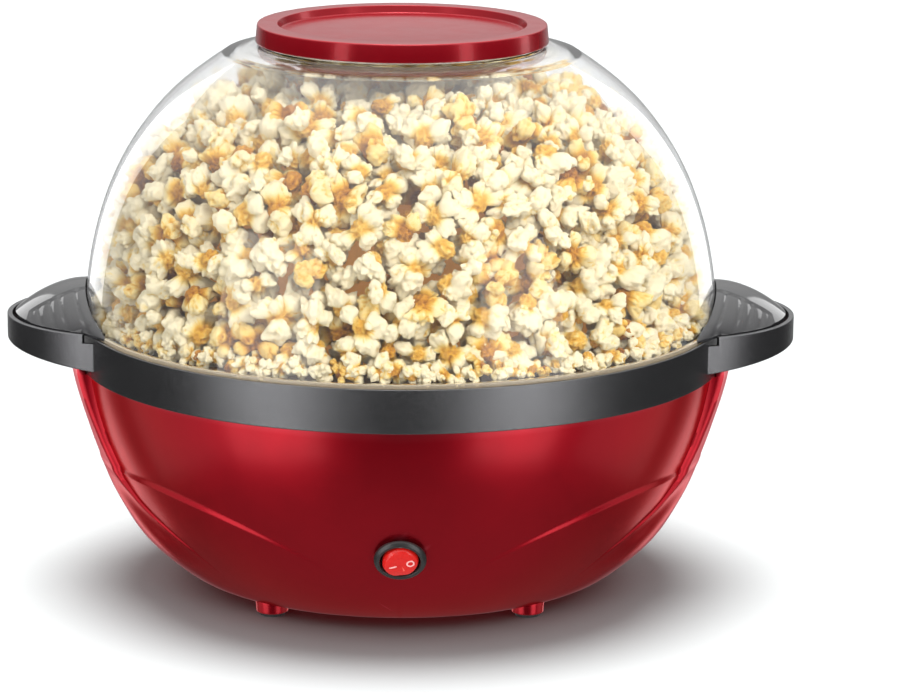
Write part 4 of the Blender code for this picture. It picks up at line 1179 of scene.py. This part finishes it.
def make_world():
    """White to look at, but dark below the horizon and bright overhead for what it lights."""
    world = bpy.data.worlds.new("studio")
    bpy.context.scene.world = world
    world.use_nodes = True
    nodes, links = world.node_tree.nodes, world.node_tree.links
    background = nodes["Background"]
    way = nodes.new("ShaderNodeSeparateXYZ")
    links.new(nodes.new("ShaderNodeTexCoord").outputs["Generated"], way.inputs["Vector"])
    sky = ranged(nodes, links, way.outputs["Z"], (0.0, 0.9, WORLD_LOW, WORLD_HIGH), smooth=True)
    under = ranged(nodes, links, way.outputs["Z"], (-0.45, -0.95, 0.0, WORLD_UNDER), smooth=True)
    behind = ranged(nodes, links, way.outputs["Y"], (0.72, 0.94, 0.0, WORLD_BEHIND), smooth=True)
    lit = maths(nodes, links, "ADD", maths(nodes, links, "ADD", sky, under), behind)
    path = nodes.new("ShaderNodeLightPath")
    seen = maths(nodes, links, "MAXIMUM", path.outputs["Is Camera Ray"], path.outputs["Is Transmission Ray"])
    choice = nodes.new("ShaderNodeMix")
    links.new(seen, choice.inputs["Factor"])
    links.new(lit, choice.inputs["A"])
    choice.inputs["B"].default_value = 1.0
    links.new(choice.outputs["Result"], background.inputs["Strength"])
    background.inputs["Color"].default_value = (1, 1, 1, 1)


def make_card(name, azimuth, width, power, objects, state="INCLUDE", height=0.0, target=MIDDLE):
    """A tall light round the object, at an azimuth from the front to the right, for some objects only."""
    turn = radians(azimuth)
    place = (CARD_DISTANCE * sin(turn), -CARD_DISTANCE * cos(turn), height)
    shines_on(make_light(name, place, target, width, CARD_HEIGHT, power), objects, state)


def make_floor_light(floor, blocking):
    """The sun that draws the shadow on the floor, stopped by a few objects only."""
    data = bpy.data.lights.new("floor_key", "SUN")
    data.energy = FLOOR_LIGHT
    data.angle = radians(36)
    sun = bpy.data.objects.new("floor_key", data)
    sun.rotation_euler = (radians(-9), 0, 0)
    bpy.context.scene.collection.objects.link(sun)
    shines_on(sun, [floor], "INCLUDE")
    blockers = bpy.data.collections.new("floor_key_blockers")
    for obj in blocking:
        blockers.objects.link(obj)
    sun.light_linking.blocker_collection = blockers


def make_studio(floor, bowl, ring, cap, bezel, kernels):
    make_light("softbox_top", (0, 0.1, 1.6), MIDDLE, 1.5, 1.5, 9)
    for name, azimuth, width, power in (("front_left", -47, 1.00, 15.5), ("front_right", 42, 0.80, 12.5),
                                        ("rear_left", -143, 0.55, 6), ("rear_right", 143, 0.55, 6)):
        make_card(f"card_{name}", azimuth, width, power, [floor, cap, ring], "EXCLUDE")
    for name, azimuth, power in (("left", -47, 5.0), ("right", 50, 5.6), ("far_right", 110, 5.0)):
        make_card(f"cap_card_{name}", azimuth, 0.3, power, [cap], height=0.25, target=(0, 0, 0.25))
    for name, azimuth in (("left", -45), ("right", 42)):
        make_card(f"ring_card_{name}", azimuth, 0.55, 10.5, [ring])
    shines_on(make_light("cap_softbox", (0, 0, 1.5), MIDDLE, 0.5, 0.5, 8), [cap], "INCLUDE")
    for name, azimuth in (("left", -92), ("right", 92)):
        make_card(f"bowl_card_{name}", azimuth, 1.2, 6.5, [bowl])
    key = make_light("popcorn_key", (0.60, -1.1, 1.0), (0, 0, 0.18), 0.7, 0.7, 29)
    key.visible_glossy = False
    shines_on(key, kernels, "INCLUDE")
    make_floor_light(floor, (bowl, bezel))
    make_world()


def make_camera():
    data = bpy.data.cameras.new("camera")
    data.lens = 151.0
    data.sensor_width = 36.0
    camera = bpy.data.objects.new("camera", data)
    camera.location = (0, -1.80, 0.536)
    bpy.context.scene.collection.objects.link(camera)
    aim(camera, (0.0240, 0, 0.1129))
    camera.rotation_euler.rotate_axis("Z", 0.007)
    bpy.context.scene.camera = camera


# ---------------------------------------------------------------- everything

make_camera()
bowl = make_bowl()
make_foot_pads()
ring = make_ring()
make_dome()
make_well()
make_tabs()
cap = make_cap()
make_plate()
make_bush()
make_stirrer()
bezel = make_switch()
make_rocker()
make_gland()
dress_inner_nodes()
make_studio(make_floor(), bowl, ring, cap, bezel, make_popcorn())
bpy.context.scene.view_settings.view_transform = "Standard"
